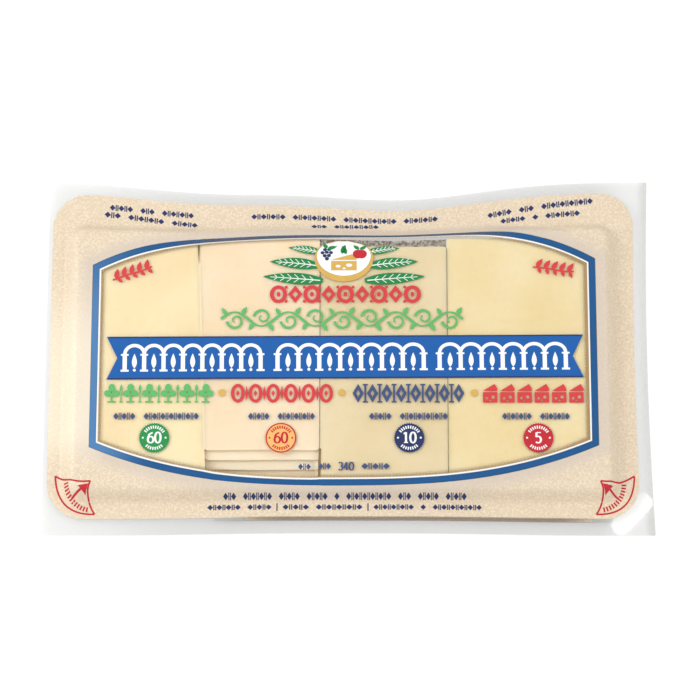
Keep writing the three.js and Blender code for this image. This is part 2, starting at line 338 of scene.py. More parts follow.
def leaf(x, y, length, half_width, degrees, steps=9):
    """A pointed leaf from its stalk at x, y."""
    along = np.linspace(0, 1, steps)
    wide = half_width * np.sin(math.pi * along ** 0.8)
    upper = np.stack((x + length * along, y + wide), 1)
    lower = np.stack((x + length * along[-2:0:-1], y - wide[-2:0:-1]), 1)
    return turned(np.concatenate((upper, lower))[::-1], x, y, degrees)


def scallop(x, y, radius, depth, teeth):
    steps = teeth * 6
    turn = np.linspace(0, 2 * math.pi, steps, endpoint=False)
    reach = radius - depth * np.abs(np.sin(turn * teeth / 2)) ** 1.5
    return np.stack((x + reach * np.cos(turn), y + reach * np.sin(turn)), 1)


def between(first, last, step):
    """Points about a step apart on the straight line between two points, without these two."""
    count = max(2, int(np.hypot(*(last - first)) / step))
    return mix(first, last, np.arange(1, count)[:, None] / count)


def rounded(left, right, bottom, top, corner, step):
    """A rectangle with round corners, with points about a step apart."""
    points = []
    centres = ((right - corner, bottom + corner, -90), (right - corner, top - corner, 0),
               (left + corner, top - corner, 90), (left + corner, bottom + corner, 180))
    for index, (x, y, start) in enumerate(centres):
        turn = np.radians(np.linspace(start, start + 90, max(4, int(corner * 1.57 / step))))
        points.append(np.stack((x + corner * np.cos(turn), y + corner * np.sin(turn)), 1))
        next_x, next_y, next_start = centres[(index + 1) % 4]
        first = points[-1][-1]
        last = np.array((next_x + corner * math.cos(math.radians(next_start)),
                         next_y + corner * math.sin(math.radians(next_start))))
        points.append(between(first, last, step))
    return np.concatenate(points)


def window_outline(inset, step=1.6, thinner=0.0):
    """The window's outline, drawn in by inset all round, and by thinner too at the back's middle."""
    half = WINDOW_HALF_WIDTH - inset
    count = int(2 * half / step)
    rows = []
    for sign, (bulge, power, slant, wave) in ((1, WINDOW_TOP), (-1, WINDOW_BOTTOM)):
        u = np.linspace(half, -half, count) * sign
        t = np.abs(u) / WINDOW_HALF_WIDTH
        steepness = bulge * power * t ** (power - 1) / WINDOW_HALF_WIDTH
        v = WINDOW_SIDE_HALF + bulge * (1 - t ** power) - inset * np.hypot(1, steepness)
        v += wave * np.sin(math.pi * u / WINDOW_HALF_WIDTH)
        if sign > 0:
            v -= thinner * ease(-105, -55, u) * ease(88, 55, u)
        rows.append(np.stack((WINDOW_X + u, WINDOW_Y + sign * v + slant * u), 1))
    upper, lower = rows
    left, right = between(upper[-1], lower[0], step), between(lower[-1], upper[0], step)
    return np.concatenate((upper, left, lower, right))


def banner_outline(step=1.6):
    corners = np.array([(BANNER_LEFT, BANNER_BOTTOM), (BANNER_RIGHT, BANNER_BOTTOM),
                        (BANNER_RIGHT - BANNER_NOTCH, BANNER_MIDDLE), (BANNER_RIGHT, BANNER_TOP),
                        (BANNER_LEFT, BANNER_TOP), (BANNER_LEFT + BANNER_NOTCH, BANNER_MIDDLE)])
    points = []
    for first, last in zip(corners, np.roll(corners, -1, 0)):
        count = max(2, int(np.hypot(*(last - first)) / step))
        points.append(mix(first, last, np.arange(count)[:, None] / count))
    return banner_turned(np.concatenate(points))


def banner_turned(points):
    """Points laid out level, turned as the banner is."""
    return turned(points, (BANNER_LEFT + BANNER_RIGHT) / 2, BANNER_MIDDLE, BANNER_TILT)


def slot_outline():
    radius = SLOT_WIDTH / 2
    reach = SLOT_LENGTH / 2 - radius
    away = SLOT_IN_FROM_CORNER / math.sqrt(2)
    turn = np.linspace(-math.pi / 2, math.pi / 2, 15)
    right = np.stack((reach + radius * np.cos(turn), radius * np.sin(turn)), 1)
    straight = np.stack((np.linspace(reach, -reach, 12)[1:-1], np.full(10, radius)), 1)
    level = np.concatenate((right, straight, -right, -straight))
    return turned(level, 0, 0, 45) + (HALF_WIDTH - away, -HALF_DEPTH + away)


def winds_round(points, outline):
    """Which points an outline goes round, even where it crosses itself."""
    x, y = points[:, 0], points[:, 1]
    turns = np.zeros(len(points), int)
    for (x0, y0), (x1, y1) in zip(outline, np.roll(outline, -1, 0)):
        left_of = (x1 - x0) * (y - y0) - (x - x0) * (y1 - y0)
        turns += ((y0 <= y) & (y1 > y) & (left_of > 0)).astype(int) - ((y0 > y) & (y1 <= y) & (left_of < 0))
    return turns != 0


def inside(points, outlines):
    """Which points lie inside the outlines, where an outline inside another is a hole."""
    return sum(winds_round(points, outline).astype(int) for outline in outlines) % 2 == 1


def distance_to(points, outline):
    nearest = np.full(len(points), 1e9)
    for x, y in outline:
        nearest = np.minimum(nearest, (points[:, 0] - x) ** 2 + (points[:, 1] - y) ** 2)
    return np.sqrt(nearest)


def triangles(points, edges, keep):
    """Triangles between the points that respect the edges. keep tells which centres of triangles stay."""
    flat, _, faces, *_ = delaunay_2d_cdt([Vector(p) for p in points], edges, [], 1, 1e-5)
    flat = np.array([p[:] for p in flat])
    faces = np.array(faces)
    faces = faces[keep(flat[faces].mean(1))]
    a, b, c = (flat[faces[:, i]] for i in range(3))
    clockwise = (b[:, 0] - a[:, 0]) * (c[:, 1] - a[:, 1]) < (b[:, 1] - a[:, 1]) * (c[:, 0] - a[:, 0])
    faces[clockwise] = faces[clockwise][:, ::-1]
    used, faces = np.unique(faces, return_inverse=True)
    return flat[used], [tuple(face) for face in faces.reshape(-1, 3).tolist()]


def dense(outline, step=1.3):
    """The outline with its long sides divided, so that it can follow the film's form."""
    points = []
    for first, last in zip(outline, np.roll(outline, -1, 0)):
        count = max(1, math.ceil(np.hypot(*(last - first)) / step))
        points.append(mix(first, last, np.arange(count)[:, None] / count))
    return np.concatenate(points)


def edges_of(outlines):
    edges = []
    start = 0
    for outline in outlines:
        edges += [(start + i, start + (i + 1) % len(outline)) for i in range(len(outline))]
        start += len(outline)
    return edges


def grid_inside(points, keep, spacing):
    """Points of an even grid that keep accepts, clear of the given points."""
    low, high = points.min(0), points.max(0)
    across, up = np.meshgrid(np.arange(low[0], high[0], spacing), np.arange(low[1], high[1], spacing))
    across[1::2] += spacing / 2
    grid = np.stack((across.ravel(), up.ravel()), 1)
    grid = grid[keep(grid)]
    return grid[distance_to(grid, points) > 0.6 * spacing]


def flat_part(outlines, keep, spacing):
    points = np.concatenate(outlines)
    if spacing:
        points = np.concatenate((points, grid_inside(points, keep, spacing)))
    return triangles(points, edges_of(outlines), keep)


def area(outlines, spacing=0.0, side=1.3):
    """The flat part inside the outlines, with points inside where a spacing is given."""
    outlines = [dense(outline, side) for outline in outlines]
    return flat_part(outlines, lambda points: inside(points, outlines), spacing)


def merged(outlines, spacing=0.0):
    """One flat part from outlines that overlap."""
    outlines = [dense(outline) for outline in outlines]

    def in_any(points):
        return np.any([winds_round(points, outline) for outline in outlines], axis=0)

    return flat_part(outlines, in_any, spacing)


def stroke(path, widths):
    """The outline of a strip along a path, as wide as widths says at each point, or everywhere."""
    path = np.asarray(path, float)
    along = np.gradient(path, axis=0)
    along /= np.maximum(np.hypot(along[:, 0], along[:, 1]), 1e-9)[:, None]
    half = np.broadcast_to(np.asarray(widths, float) / 2, len(path))
    across = np.stack((-along[:, 1], along[:, 0]), 1) * half[:, None]
    return np.concatenate((path - across, (path + across)[::-1]))


def line(start, end, width, steps=2):
    """The outline of a straight bar."""
    start, end = np.array(start, float), np.array(end, float)
    return stroke(mix(start, end, np.linspace(0, 1, steps)[:, None]), width)


def box(x, y, half_width, half_height):
    return np.array([(x - half_width, y - half_height), (x + half_width, y - half_height),
                     (x + half_width, y + half_height), (x - half_width, y + half_height)], float)


def smooth_path(points, per_span=8):
    """A curve through the points."""
    points = np.asarray(points, float)
    padded = np.concatenate((2 * points[:1] - points[1:2], points, 2 * points[-1:] - points[-2:-1]))
    t = np.linspace(0, 1, per_span, endpoint=False)[:, None]
    spans = []
    for p0, p1, p2, p3 in zip(padded, padded[1:], padded[2:], padded[3:]):
        spans.append(0.5 * (2 * p1 + (p2 - p0) * t + (2 * p0 - 5 * p1 + 4 * p2 - p3) * t ** 2
                            + (3 * p1 - p0 - 3 * p2 + p3) * t ** 3))
    return np.concatenate(spans + [points[-1:]])


# Meshes

# Edges that turn by more than this many degrees stay sharp
SHARP_ANGLE = 40


def new_piece(name, points, faces, material):
    """A mesh object from points in millimetres."""
    mesh = bpy.data.meshes.new(name)
    mesh.from_pydata((np.asarray(points) * MM).tolist(), [], faces)
    mesh.materials.append(material)
    mesh.polygons.foreach_set("use_smooth", [True] * len(mesh.polygons))
    mesh.set_sharp_from_angle(angle=math.radians(SHARP_ANGLE))
    mesh.validate()
    piece = bpy.data.objects.new(name, mesh)
    bpy.context.scene.collection.objects.link(piece)
    return piece


def closed(parts, low, high):
    """Closes flat parts into thin solids. low and high give a point's two heights from its u and v."""
    points, faces, start = [], [], 0
    for flat, flat_faces in parts:
        count = len(flat)
        x, y = drawn(flat[:, 0], flat[:, 1])
        for height in (low, high):
            points.append(np.stack((x, y, height(flat[:, 0], flat[:, 1])), 1))
        directed = set()
        for face in flat_faces:
            faces.append(tuple(start + count + i for i in face))
            faces.append(tuple(start + i for i in reversed(face)))
            directed.update(zip(face, face[1:] + face[:1]))
        rim = sorted((a, b) for a, b in directed if (b, a) not in directed)
        faces += [(start + a, start + b, start + count + b, start + count + a) for a, b in rim]
        start += 2 * count
    return np.concatenate(points), faces


def lay_print(name, parts, ink, slot, lift=0.0, gauge=None, nodes=()):
    """Lays flat parts on the top film as print."""
    thickness = bpy.context.scene.cheese_pack_sizes.print_gauge / MM if gauge is None else gauge
    base = PRINT_BASE + lift
    points, faces = closed(parts, lambda u, v: lid_height(u, v) + base,
                           lambda u, v: lid_height(u, v) + base + thickness)
    piece = new_piece(name, points, faces, material_for(ink))
    place(piece, slot, *nodes)
    return piece


def place(piece, slot, *nodes):
    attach(piece, "root")
    if nodes:
        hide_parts(*nodes)


def store(piece, name, values):
    """Keeps a number for each of a mesh's points, for its material.

    The values are for all points, or for the lower side's and used again for the upper's, or one for all.
    """
    attribute = piece.data.attributes.new(name, "FLOAT", "POINT")
    attribute.data.foreach_set("value", np.resize(values, len(piece.data.vertices)).astype(np.float32))


# Materials

# The share of light that a film's side throws back head on: the step in index between its layers is small
FILM_GLOSS = 0.02
WHITE = (1.0, 1.0, 1.0, 1.0)


def new_material(name):
    material = bpy.data.materials.new(name)
    material.use_nodes = True
    material.node_tree.nodes.clear()
    return material, material.node_tree


def add_node(tree, kind, inputs, **settings):
    """Adds a node with its inputs by name or number, and its settings: sockets are linked, values are set."""
    added = tree.nodes.new(kind)
    for name, value in settings.items():
        setattr(added, name, value)
    for name, value in inputs.items():
        if isinstance(value, bpy.types.NodeSocket):
            tree.links.new(value, added.inputs[name])
        else:
            added.inputs[name].default_value = value
    return added


def rgba(rgb, factor=1.0):
    return (*(min(1.0, c * factor) for c in rgb), 1.0)


def spot_on(tree):
    """The point's place on its piece, which patterns follow."""
    return add_node(tree, "ShaderNodeTexCoord", {}).outputs["Object"]


def grain(tree, size, detail, roughness=0.5):
    """A cloudy pattern with grains of about that size in millimetres."""
    inputs = {"Vector": spot_on(tree), "Scale": 1 / (size * MM), "Detail": detail, "Roughness": roughness}
    return add_node(tree, "ShaderNodeTexNoise", inputs).outputs["Fac"]


def stored(tree, name):
    """The number that the piece keeps under that name at each of its points."""
    return add_node(tree, "ShaderNodeAttribute", {}, attribute_name=name).outputs["Fac"]


def scaled(tree, value, limits):
    return add_node(tree, "ShaderNodeMapRange", {"Value": value, **limits}).outputs["Result"]


def blended(tree, share, first, second, how="MIX"):
    """A colour between two others."""
    mixed = add_node(tree, "ShaderNodeMix", {0: share, 6: first, 7: second}, data_type="RGBA", blend_type=how)
    return mixed.outputs[2]


def ramped(tree, value, stops):
    """A colour by value, from (value, colour) pairs in rising order."""
    ramp = add_node(tree, "ShaderNodeValToRGB", {"Fac": value})
    elements = ramp.color_ramp.elements
    for position, tone in stops[1:-1]:
        elements.new(position)
    for element, (position, tone) in zip(elements, stops):
        element.position = position
        element.color = tone
    return ramp.outputs["Color"]


def bumped(tree, height, strength, depth):
    """The way the surface faces over a low relief, depth millimetres deep at full strength."""
    inputs = {"Strength": strength, "Distance": depth * MM, "Height": height}
    return add_node(tree, "ShaderNodeBump", inputs).outputs["Normal"]


def layered(tree, share, first, second):
    """A surface between two others."""
    return add_node(tree, "ShaderNodeMixShader", {"Fac": share, 1: first, 2: second}).outputs["Shader"]


def coated(tree, inputs):
    return add_node(tree, "ShaderNodeBsdfPrincipled", inputs).outputs["BSDF"]


def finished(material, surface):
    add_node(material.node_tree, "ShaderNodeOutputMaterial", {"Surface": surface})
    return material


def vacuum_film(name, tint, sealed, gloss_roughness):
    """Cast film of polyamide and polyethylene: clear, greyer where sealed and where shade is painted on, its
    gloss broken up by ripples.
    """
    material, tree = new_material(name)
    facing = bumped(tree, grain(tree, 16.0, 2.0, 0.4), 0.35, 0.6)
    # The stored grey is the seal's haze together with painted shade
    tones = blended(tree, stored(tree, "seal"), rgba(tint), rgba(sealed))
    clear = add_node(tree, "ShaderNodeBsdfTransparent", {"Color": tones})
    gloss = add_node(tree, "ShaderNodeBsdfAnisotropic",
                     {"Color": WHITE, "Roughness": gloss_roughness, "Normal": facing})
    slant = add_node(tree, "ShaderNodeLayerWeight", {"Blend": 0.5, "Normal": facing})
    rise = add_node(tree, "ShaderNodeMath", {0: slant.outputs["Facing"], 1: 5.0}, operation="POWER")
    share = scaled(tree, rise.outputs["Value"], {"To Min": FILM_GLOSS, "To Max": 0.9})
    return finished(material, layered(tree, share, clear.outputs["BSDF"], gloss.outputs["BSDF"]))


def pressed_cheese(name, tone, shade):
    """Semi-hard cheese, pressed and sliced: waxy, slightly see-through, with faint marbling and fine pores.

    The pores are coarser than real ones, so that they show.
    """
    material, tree = new_material(name)
    both = add_node(tree, "ShaderNodeMath",
                    {0: grain(tree, 3.5, 3.0, 0.6), 1: 0.35, 2: grain(tree, 30.0, 3.0, 0.45)},
                    operation="MULTIPLY_ADD")
    share = scaled(tree, both.outputs["Value"], {"From Min": 0.45, "From Max": 0.95})
    inputs = {"Vector": spot_on(tree), "Scale": 1 / (2.2 * MM), "Smoothness": 0.3}
    pores = add_node(tree, "ShaderNodeTexVoronoi", inputs, feature="SMOOTH_F1")
    return finished(material, coated(tree, {
        "Base Color": blended(tree, share, rgba(tone), rgba(shade)), "Roughness": 0.45, "IOR": 1.45,
        "Subsurface Weight": 0.6, "Subsurface Radius": (1.0, 0.8, 0.5), "Subsurface Scale": 4.0 * MM,
        "Normal": bumped(tree, pores.outputs["Distance"], 0.25, 0.15)}))


def crumpled_film(name):
    """Film crumpled into fine pleats: it scatters light, with pale ridges and hollows in painted brownish
    shade;
    the strip is painted dark for the shade in the gap behind the stack.

    The pleats are coarser than real ones, so that they show.
    """
    material, tree = new_material(name)
    pleats = grain(tree, 1.4, 3.0, 0.6)
    # Painted shade: dark brownish hollows and pale ridges
    tones = ramped(tree, pleats, ((0.4, rgba(linear("6a5d50"))), (0.62, rgba(linear("c6bdae")))))
    return finished(material, coated(tree, {
        "Base Color": tones, "Roughness": 0.35, "IOR": 1.5, "Normal": bumped(tree, pleats, 0.6, 0.3)}))


def parchment_print(name, paper, halo):
    """Flexographic parchment print under film: a tan ground with fine pale specks, pinker round the window.

    It is painted paler, towards cream, along the label's left side: a painted sheen. The specks are coarser
    than real ones, so that they show.
    """
    material, tree = new_material(name)
    from_window = stored(tree, "from_window")
    ground = blended(tree, from_window, rgba(halo), rgba(paper))
    cloudy = blended(tree, grain(tree, 30.0, 4.0), ground, (0.9, 0.9, 0.9, 1.0), "MULTIPLY")
    specks = ramped(tree, grain(tree, 1.1, 2.0, 0.7),
                    ((0.36, (0.82, 0.8, 0.78, 1.0)), (0.53, (0.9, 0.89, 0.88, 1.0)), (0.62, WHITE)))
    strength = scaled(tree, from_window, {"To Min": 0.35, "To Max": 1.0})
    speckled = blended(tree, strength, cloudy, specks, "MULTIPLY")
    # Painted sheen: paler along the label's left side
    printed = blended(tree, stored(tree, "painted_left_sheen"), speckled, rgba(linear("fdf3dc")))
    return finished(material, coated(tree, {
        "Base Color": printed, "Roughness": 0.5, "IOR": 1.45, "Coat Weight": 0.3, "Coat Roughness": 0.25,
        "Coat IOR": 1.45}))


def film_ink(name, tone, depth=0.93, coat=0.0, pale=None):
    """Flexographic ink seen through film: an even colour with faint ink mottle, under a clear gloss.

    Where a pale tone is given, the ink fades to it as far as the piece's stored sheen says: a painted sheen.
    """
    material, tree = new_material(name)
    tones = blended(tree, grain(tree, 4.0, 4.0, 0.65), rgba(tone, depth), rgba(tone, 2 - depth))
    if pale is not None:
        # Painted sheen: paler along the piece's left side
        tones = blended(tree, stored(tree, "painted_left_sheen"), tones, rgba(pale))
    return finished(material, coated(tree, {
        "Base Color": tones, "Roughness": 0.45, "IOR": 1.4, "Coat Weight": coat, "Coat Roughness": 0.15,
        "Coat IOR": 1.5}))


def shadow_ink(name, tone):
    """A soft painted tone: printed or painted shade along lines and seams, or cheese colour painted over a
    seam. It fades out, so that what lies under it shows through.
    """
    material, tree = new_material(name)
    clear = add_node(tree, "ShaderNodeBsdfTransparent", {"Color": WHITE})
    ink = add_node(tree, "ShaderNodeBsdfDiffuse", {"Color": rgba(tone)})
    return finished(material, layered(tree, stored(tree, "fade"), clear.outputs["BSDF"], ink.outputs["BSDF"]))


def material_for(name):
    """The pack's material of that name, made when it is first asked for."""
    existing = bpy.data.materials.get(name)
    if existing:
        return existing
    colours = bpy.context.scene.cheese_pack_colours
    # Grey of the sealed flange, which also carries painted shade
    sealed_and_shaded_tint = (0.918, 0.917, 0.912)
    recipes = {
        "clear lid film": (vacuum_film, (0.995, 0.995, 0.993), sealed_and_shaded_tint, 0.09),
        "clear tray film": (vacuum_film, (0.99, 0.99, 0.987), sealed_and_shaded_tint, 0.14),
        "pale cheese": (pressed_cheese, colours.pale, linear("f1d6a9")),
        "cream cheese": (pressed_cheese, colours.cream, linear("f1d5af")),
        # Painted lighter, which lifts the shade between the slipped slices
        "slipped cream cheese": (pressed_cheese, linear("fde9cf"), linear("fae0bf")),
        "straw cheese": (pressed_cheese, colours.straw, linear("e0cb9e")),
        "golden cheese": (pressed_cheese, colours.golden, linear("e8d098")),
        "parchment print": (parchment_print, colours.paper, colours.halo),
        "blue ink": (film_ink, colours.blue),
        # Its pale tone is a painted sheen along the line's left side
        "line blue ink": (film_ink, colours.line_blue, 0.93, 0.0, linear("7fb5ea")),
        "white ink": (film_ink, colours.white, 0.97),
        "red ink": (film_ink, colours.red),
        "green ink": (film_ink, colours.green),
        "leaf green ink": (film_ink, colours.leaf_green),
        "light green ink": (film_ink, colours.light_green),
        "title red ink": (film_ink, colours.title_red),
        "slate ink": (film_ink, colours.slate),
        "navy ink": (film_ink, colours.navy),
        "orange ink": (film_ink, colours.orange),
        "gold ink": (film_ink, colours.gold, 0.85, 0.9),
        "brown shadow ink": (shadow_ink, linear("b8986a")),
        "grey shadow ink": (shadow_ink, linear("77787a")),
        "umber shade": (shadow_ink, linear("8d7e70")),
        # Painted shade over the seams between the stacks
        "oiled seam": (shadow_ink, linear("8a7142")),
        # Cheese colour painted over a seam, which lightens its shade
        "softened cheese": (shadow_ink, linear("fbe6bd")),
        "crumpled film": (crumpled_film,),
    }
    maker, *values = recipes[name]
    return maker(name, *values)


# Operators


class CHEESEPACK_OT_films(bpy.types.Operator):
    """Builds the bottom film with its slot, and the top film"""
    bl_idname = "cheese_pack.films"
    bl_label = "Films"

    def execute(self, context):
        sheet = rounded(-HALF_WIDTH, HALF_WIDTH, -HALF_DEPTH, HALF_DEPTH, 0.6, 1.9)
        tray = [area([sheet, slot_outline()], 1.9)]
        points, faces = closed(tray, lambda u, v: tray_height(u, v) - FILM_GAUGE, tray_height)
        piece = new_piece("formed_tray_film", points, faces, material_for("clear tray film"))
        store(piece, "seal", self.seal(*tray[0][0].T))
        place(piece, "bottom_film", "bottom_film")
        lid = [area([sheet], 1.5)]
        points, faces = closed(lid, lid_height, lambda u, v: lid_height(u, v) + FILM_GAUGE)
        piece = new_piece("drawn_lid_film", points, faces, material_for("clear lid film"))
        store(piece, "seal", self.seal(*lid[0][0].T))
        place(piece, "top_film", "top_film")
        self.crumpled_fold()
        return {"FINISHED"}

    def seal(self, u, v):
        """How grey the flange is painted: more at its front, its back and its right rim, least on the left
        and next to the label's right side.
        Besides the seal's haze, this grey is painted shade for how the light falls.
        """
        right_rim = ease(5.5, 0.5, HALF_WIDTH - u)
        grey = mix(0.12, 0.45, ease(-150, -50, u)) + 0.22 * ease(-60, -88, v) * ease(-160, -80, u)
        grey += 0.12 * ease(60, 85, v) * ease(-150, -80, u)
        grey += 0.4 * right_rim - 0.35 * ease(120, 142, u) * (1 - right_rim)
        over_slot = inside(np.stack((u, v), 1), [slot_outline()])
        return np.clip(grey, 0, 1) * ease(2, 8, outside_block(u, v)) * ~over_slot

    def crumpled_fold(self):
        """The slack film that the vacuum has crumpled behind the third stack."""
        columns, rows = 128, 13
        across, up = np.meshgrid(np.linspace(FOLD_LEFT, FOLD_RIGHT, columns),
                                 np.linspace(FOLD_FRONT, FOLD_BACK, rows))
        x, y = drawn(across, up)
        crumple = np.sin(2.3 * across + 3 * np.sin(1.1 * up)) * np.sin(1.7 * up + 1.3 * np.sin(0.9 * across))
        top = lid_height(across, up) - FOLD_DEPTH + FOLD_CRUMPLE * crumple
        sides = [np.stack((x, y, height), -1).reshape(-1, 3) for height in (top - FOLD_GAUGE, top)]
        points = np.concatenate(sides)
        index = np.arange(rows * columns).reshape(rows, columns)
        quads = np.stack((index[:-1, :-1], index[:-1, 1:], index[1:, 1:], index[1:, :-1]), -1).reshape(-1, 4)
        count = rows * columns
        faces = [tuple(quad[::-1]) for quad in quads.tolist()]
        faces += [tuple(quad) for quad in (quads + count).tolist()]
        rim = [*index[0, :-1], *index[:-1, -1], *index[-1, :0:-1], *index[:0:-1, 0]]
        for a, b in zip(rim, rim[1:] + rim[:1]):
            faces.append((int(a), int(b), int(b) + count, int(a) + count))
        place(new_piece("crumpled_film_fold", points, faces, material_for("crumpled film")), "top_film")


def soft_corners(corners, reach, step):
    """Points round a four-cornered outline whose corners are rounded off."""
    points = []
    for index, corner in enumerate(corners):
        before, after = corners[index - 1], corners[(index + 1) % 4]
        start = corner + (before - corner) * reach / np.hypot(*(before - corner))
        end = corner + (after - corner) * reach / np.hypot(*(after - corner))
        t = np.linspace(0, 1, 6)[:, None]
        points.append(mix(mix(start, corner, t), mix(corner, end, t), t))
        next_start = after + (corner - after) * reach / np.hypot(*(corner - after))
        points.append(between(end, next_start, step))
    return np.concatenate(points)


def slice_solid(outline, floor, rounding, phase):
    """A slice with softly rounded cut edges and slightly uneven faces."""
    count = len(outline)
    along = np.roll(outline, -1, 0) - np.roll(outline, 1, 0)
    along /= np.hypot(along[:, 0], along[:, 1])[:, None]
    inward = np.stack((-along[:, 1], along[:, 0]), 1)
    cap, cap_faces = area([outline + inward * rounding], 3.0, 9.0)
    top = floor + SLICE_THICKNESS

    def cap_at(height, depth):
        uneven = depth * (np.sin(cap[:, 0] / 13 + phase) * np.sin(cap[:, 1] / 17 + 2 * phase) - 1)
        return np.column_stack((cap, height + uneven))

    lower, upper = cap_at(floor, -0.02), cap_at(top, 0.06)
    rings = []
    for inset, height in ((0.3, floor + 0.3 * rounding), (0.0, floor + rounding), (0.0, top - rounding),
                          (0.3, top - 0.3 * rounding)):
        ring = outline + inward * inset * rounding
        rings.append(np.column_stack((ring, np.full(count, height))))
    points = np.concatenate((lower, upper, *rings))
    faces = [tuple(reversed(face)) for face in cap_faces]
    faces += [tuple(len(cap) + i for i in face) for face in cap_faces]
    starts = [0] + [2 * len(cap) + count * ring for ring in range(len(rings))] + [len(cap)]
    for below, above in zip(starts, starts[1:]):
        for i in range(count):
            after = (i + 1) % count
            faces.append((below + i, below + after, above + after, above + i))
    return points, faces


class CHEESEPACK_OT_slices(bpy.types.Operator):
    """Builds the four stacks of slices"""
    bl_idname = "cheese_pack.slices"
    bl_label = "Slices"

    def execute(self, context):
        rounding = context.scene.cheese_pack_sizes.slice_rounding / MM
        for stack_number, (stack, (front, back, slip)) in enumerate(STACKS.items()):
            (front_y, front_left, front_right), (back_y, back_left, back_right) = front, back
            corners = np.array([(front_left, front_y), (front_right, front_y),
                                (back_right, back_y), (back_left, back_y)])
            outline = soft_corners(corners, 2.0, 2.0)
            for level in range(SLICES):
                phase = 1.3 * level + 2.1 * stack_number
                wobble = np.sin(outline[:, ::-1] / 9 + phase) * (0.03, 0.12) - (0.0, 0.06)
                shift = np.array(slip) * (SLICES - 1 - level)
                floor = STACK_FLOOR + level * (SLICE_THICKNESS + SLICE_GAP)
                points, faces = slice_solid(outline + wobble + shift, floor, rounding, phase)
                # The slipped slices are painted lighter, which lifts the shade between the fanned steps
                slipped = stack == "cream" and level < SLICES - 1
                cheese = "slipped cream cheese" if slipped else f"{stack} cheese"
                piece = new_piece(f"{stack}_slice_{level + 1}", points, faces, material_for(cheese))
                place(piece, f"{stack}_cheese", f"{stack}_stack_slice_{level + 1}")
        self.oiled_seams()
        return {"FINISHED"}

    def oiled_seams(self):
        """Thin brownish lines of painted shade on the film, over the seams between the stacks."""
        # Painted shade: a dark mark at the first seam's back, and lines along the other seams
        first_seam, second_seam, third_seam = (back for front, back in SEAMS)
        shades = (
            (np.array([(first_seam + 0.2, 46.0), (first_seam + 0.7, 58.5), (first_seam - 0.6, 58.5)]), 0.6),
            (line((second_seam, 52.0), (second_seam, -50.0), 0.35, 60), 0.35),
            (line((second_seam, 40.0), (second_seam, 31.0), 0.8, 8), 0.5),
            (line((second_seam + 0.1, -49.5), (second_seam - 0.3, -66.0), 1.2, 12), 0.6),
            (line((third_seam, 55.0), (third_seam, -65.5), 0.35, 70), 0.5),
        )
        parts = [area([outline], 1.0) for outline, fade in shades]
        piece = lay_print("oiled_seams", parts, "oiled seam", "straw_cheese",
                          lift=FILM_GAUGE + 0.02 - PRINT_BASE, gauge=0.03)
        fades = [np.full(2 * len(points), fade) for (points, _), (_, fade) in zip(parts, shades)]
        store(piece, "fade", np.concatenate(fades))
        # A cheese-coloured strip is painted over the two left stacks' seam and lightens its shade, so that
        # the seam shows only at its back end
        front, back = SEAMS[0]
        pressed = area([line((mix(front, back, 0.87), 46.0), (mix(front, back, 0.14), -50.0), 0.9, 90)], 1.0)
        piece = lay_print("seam_lightening_strip", [pressed], "softened cheese", "cream_cheese",
                          lift=UNDER_FILM, gauge=SHADE_GAUGE)
        store(piece, "fade", 0.9)


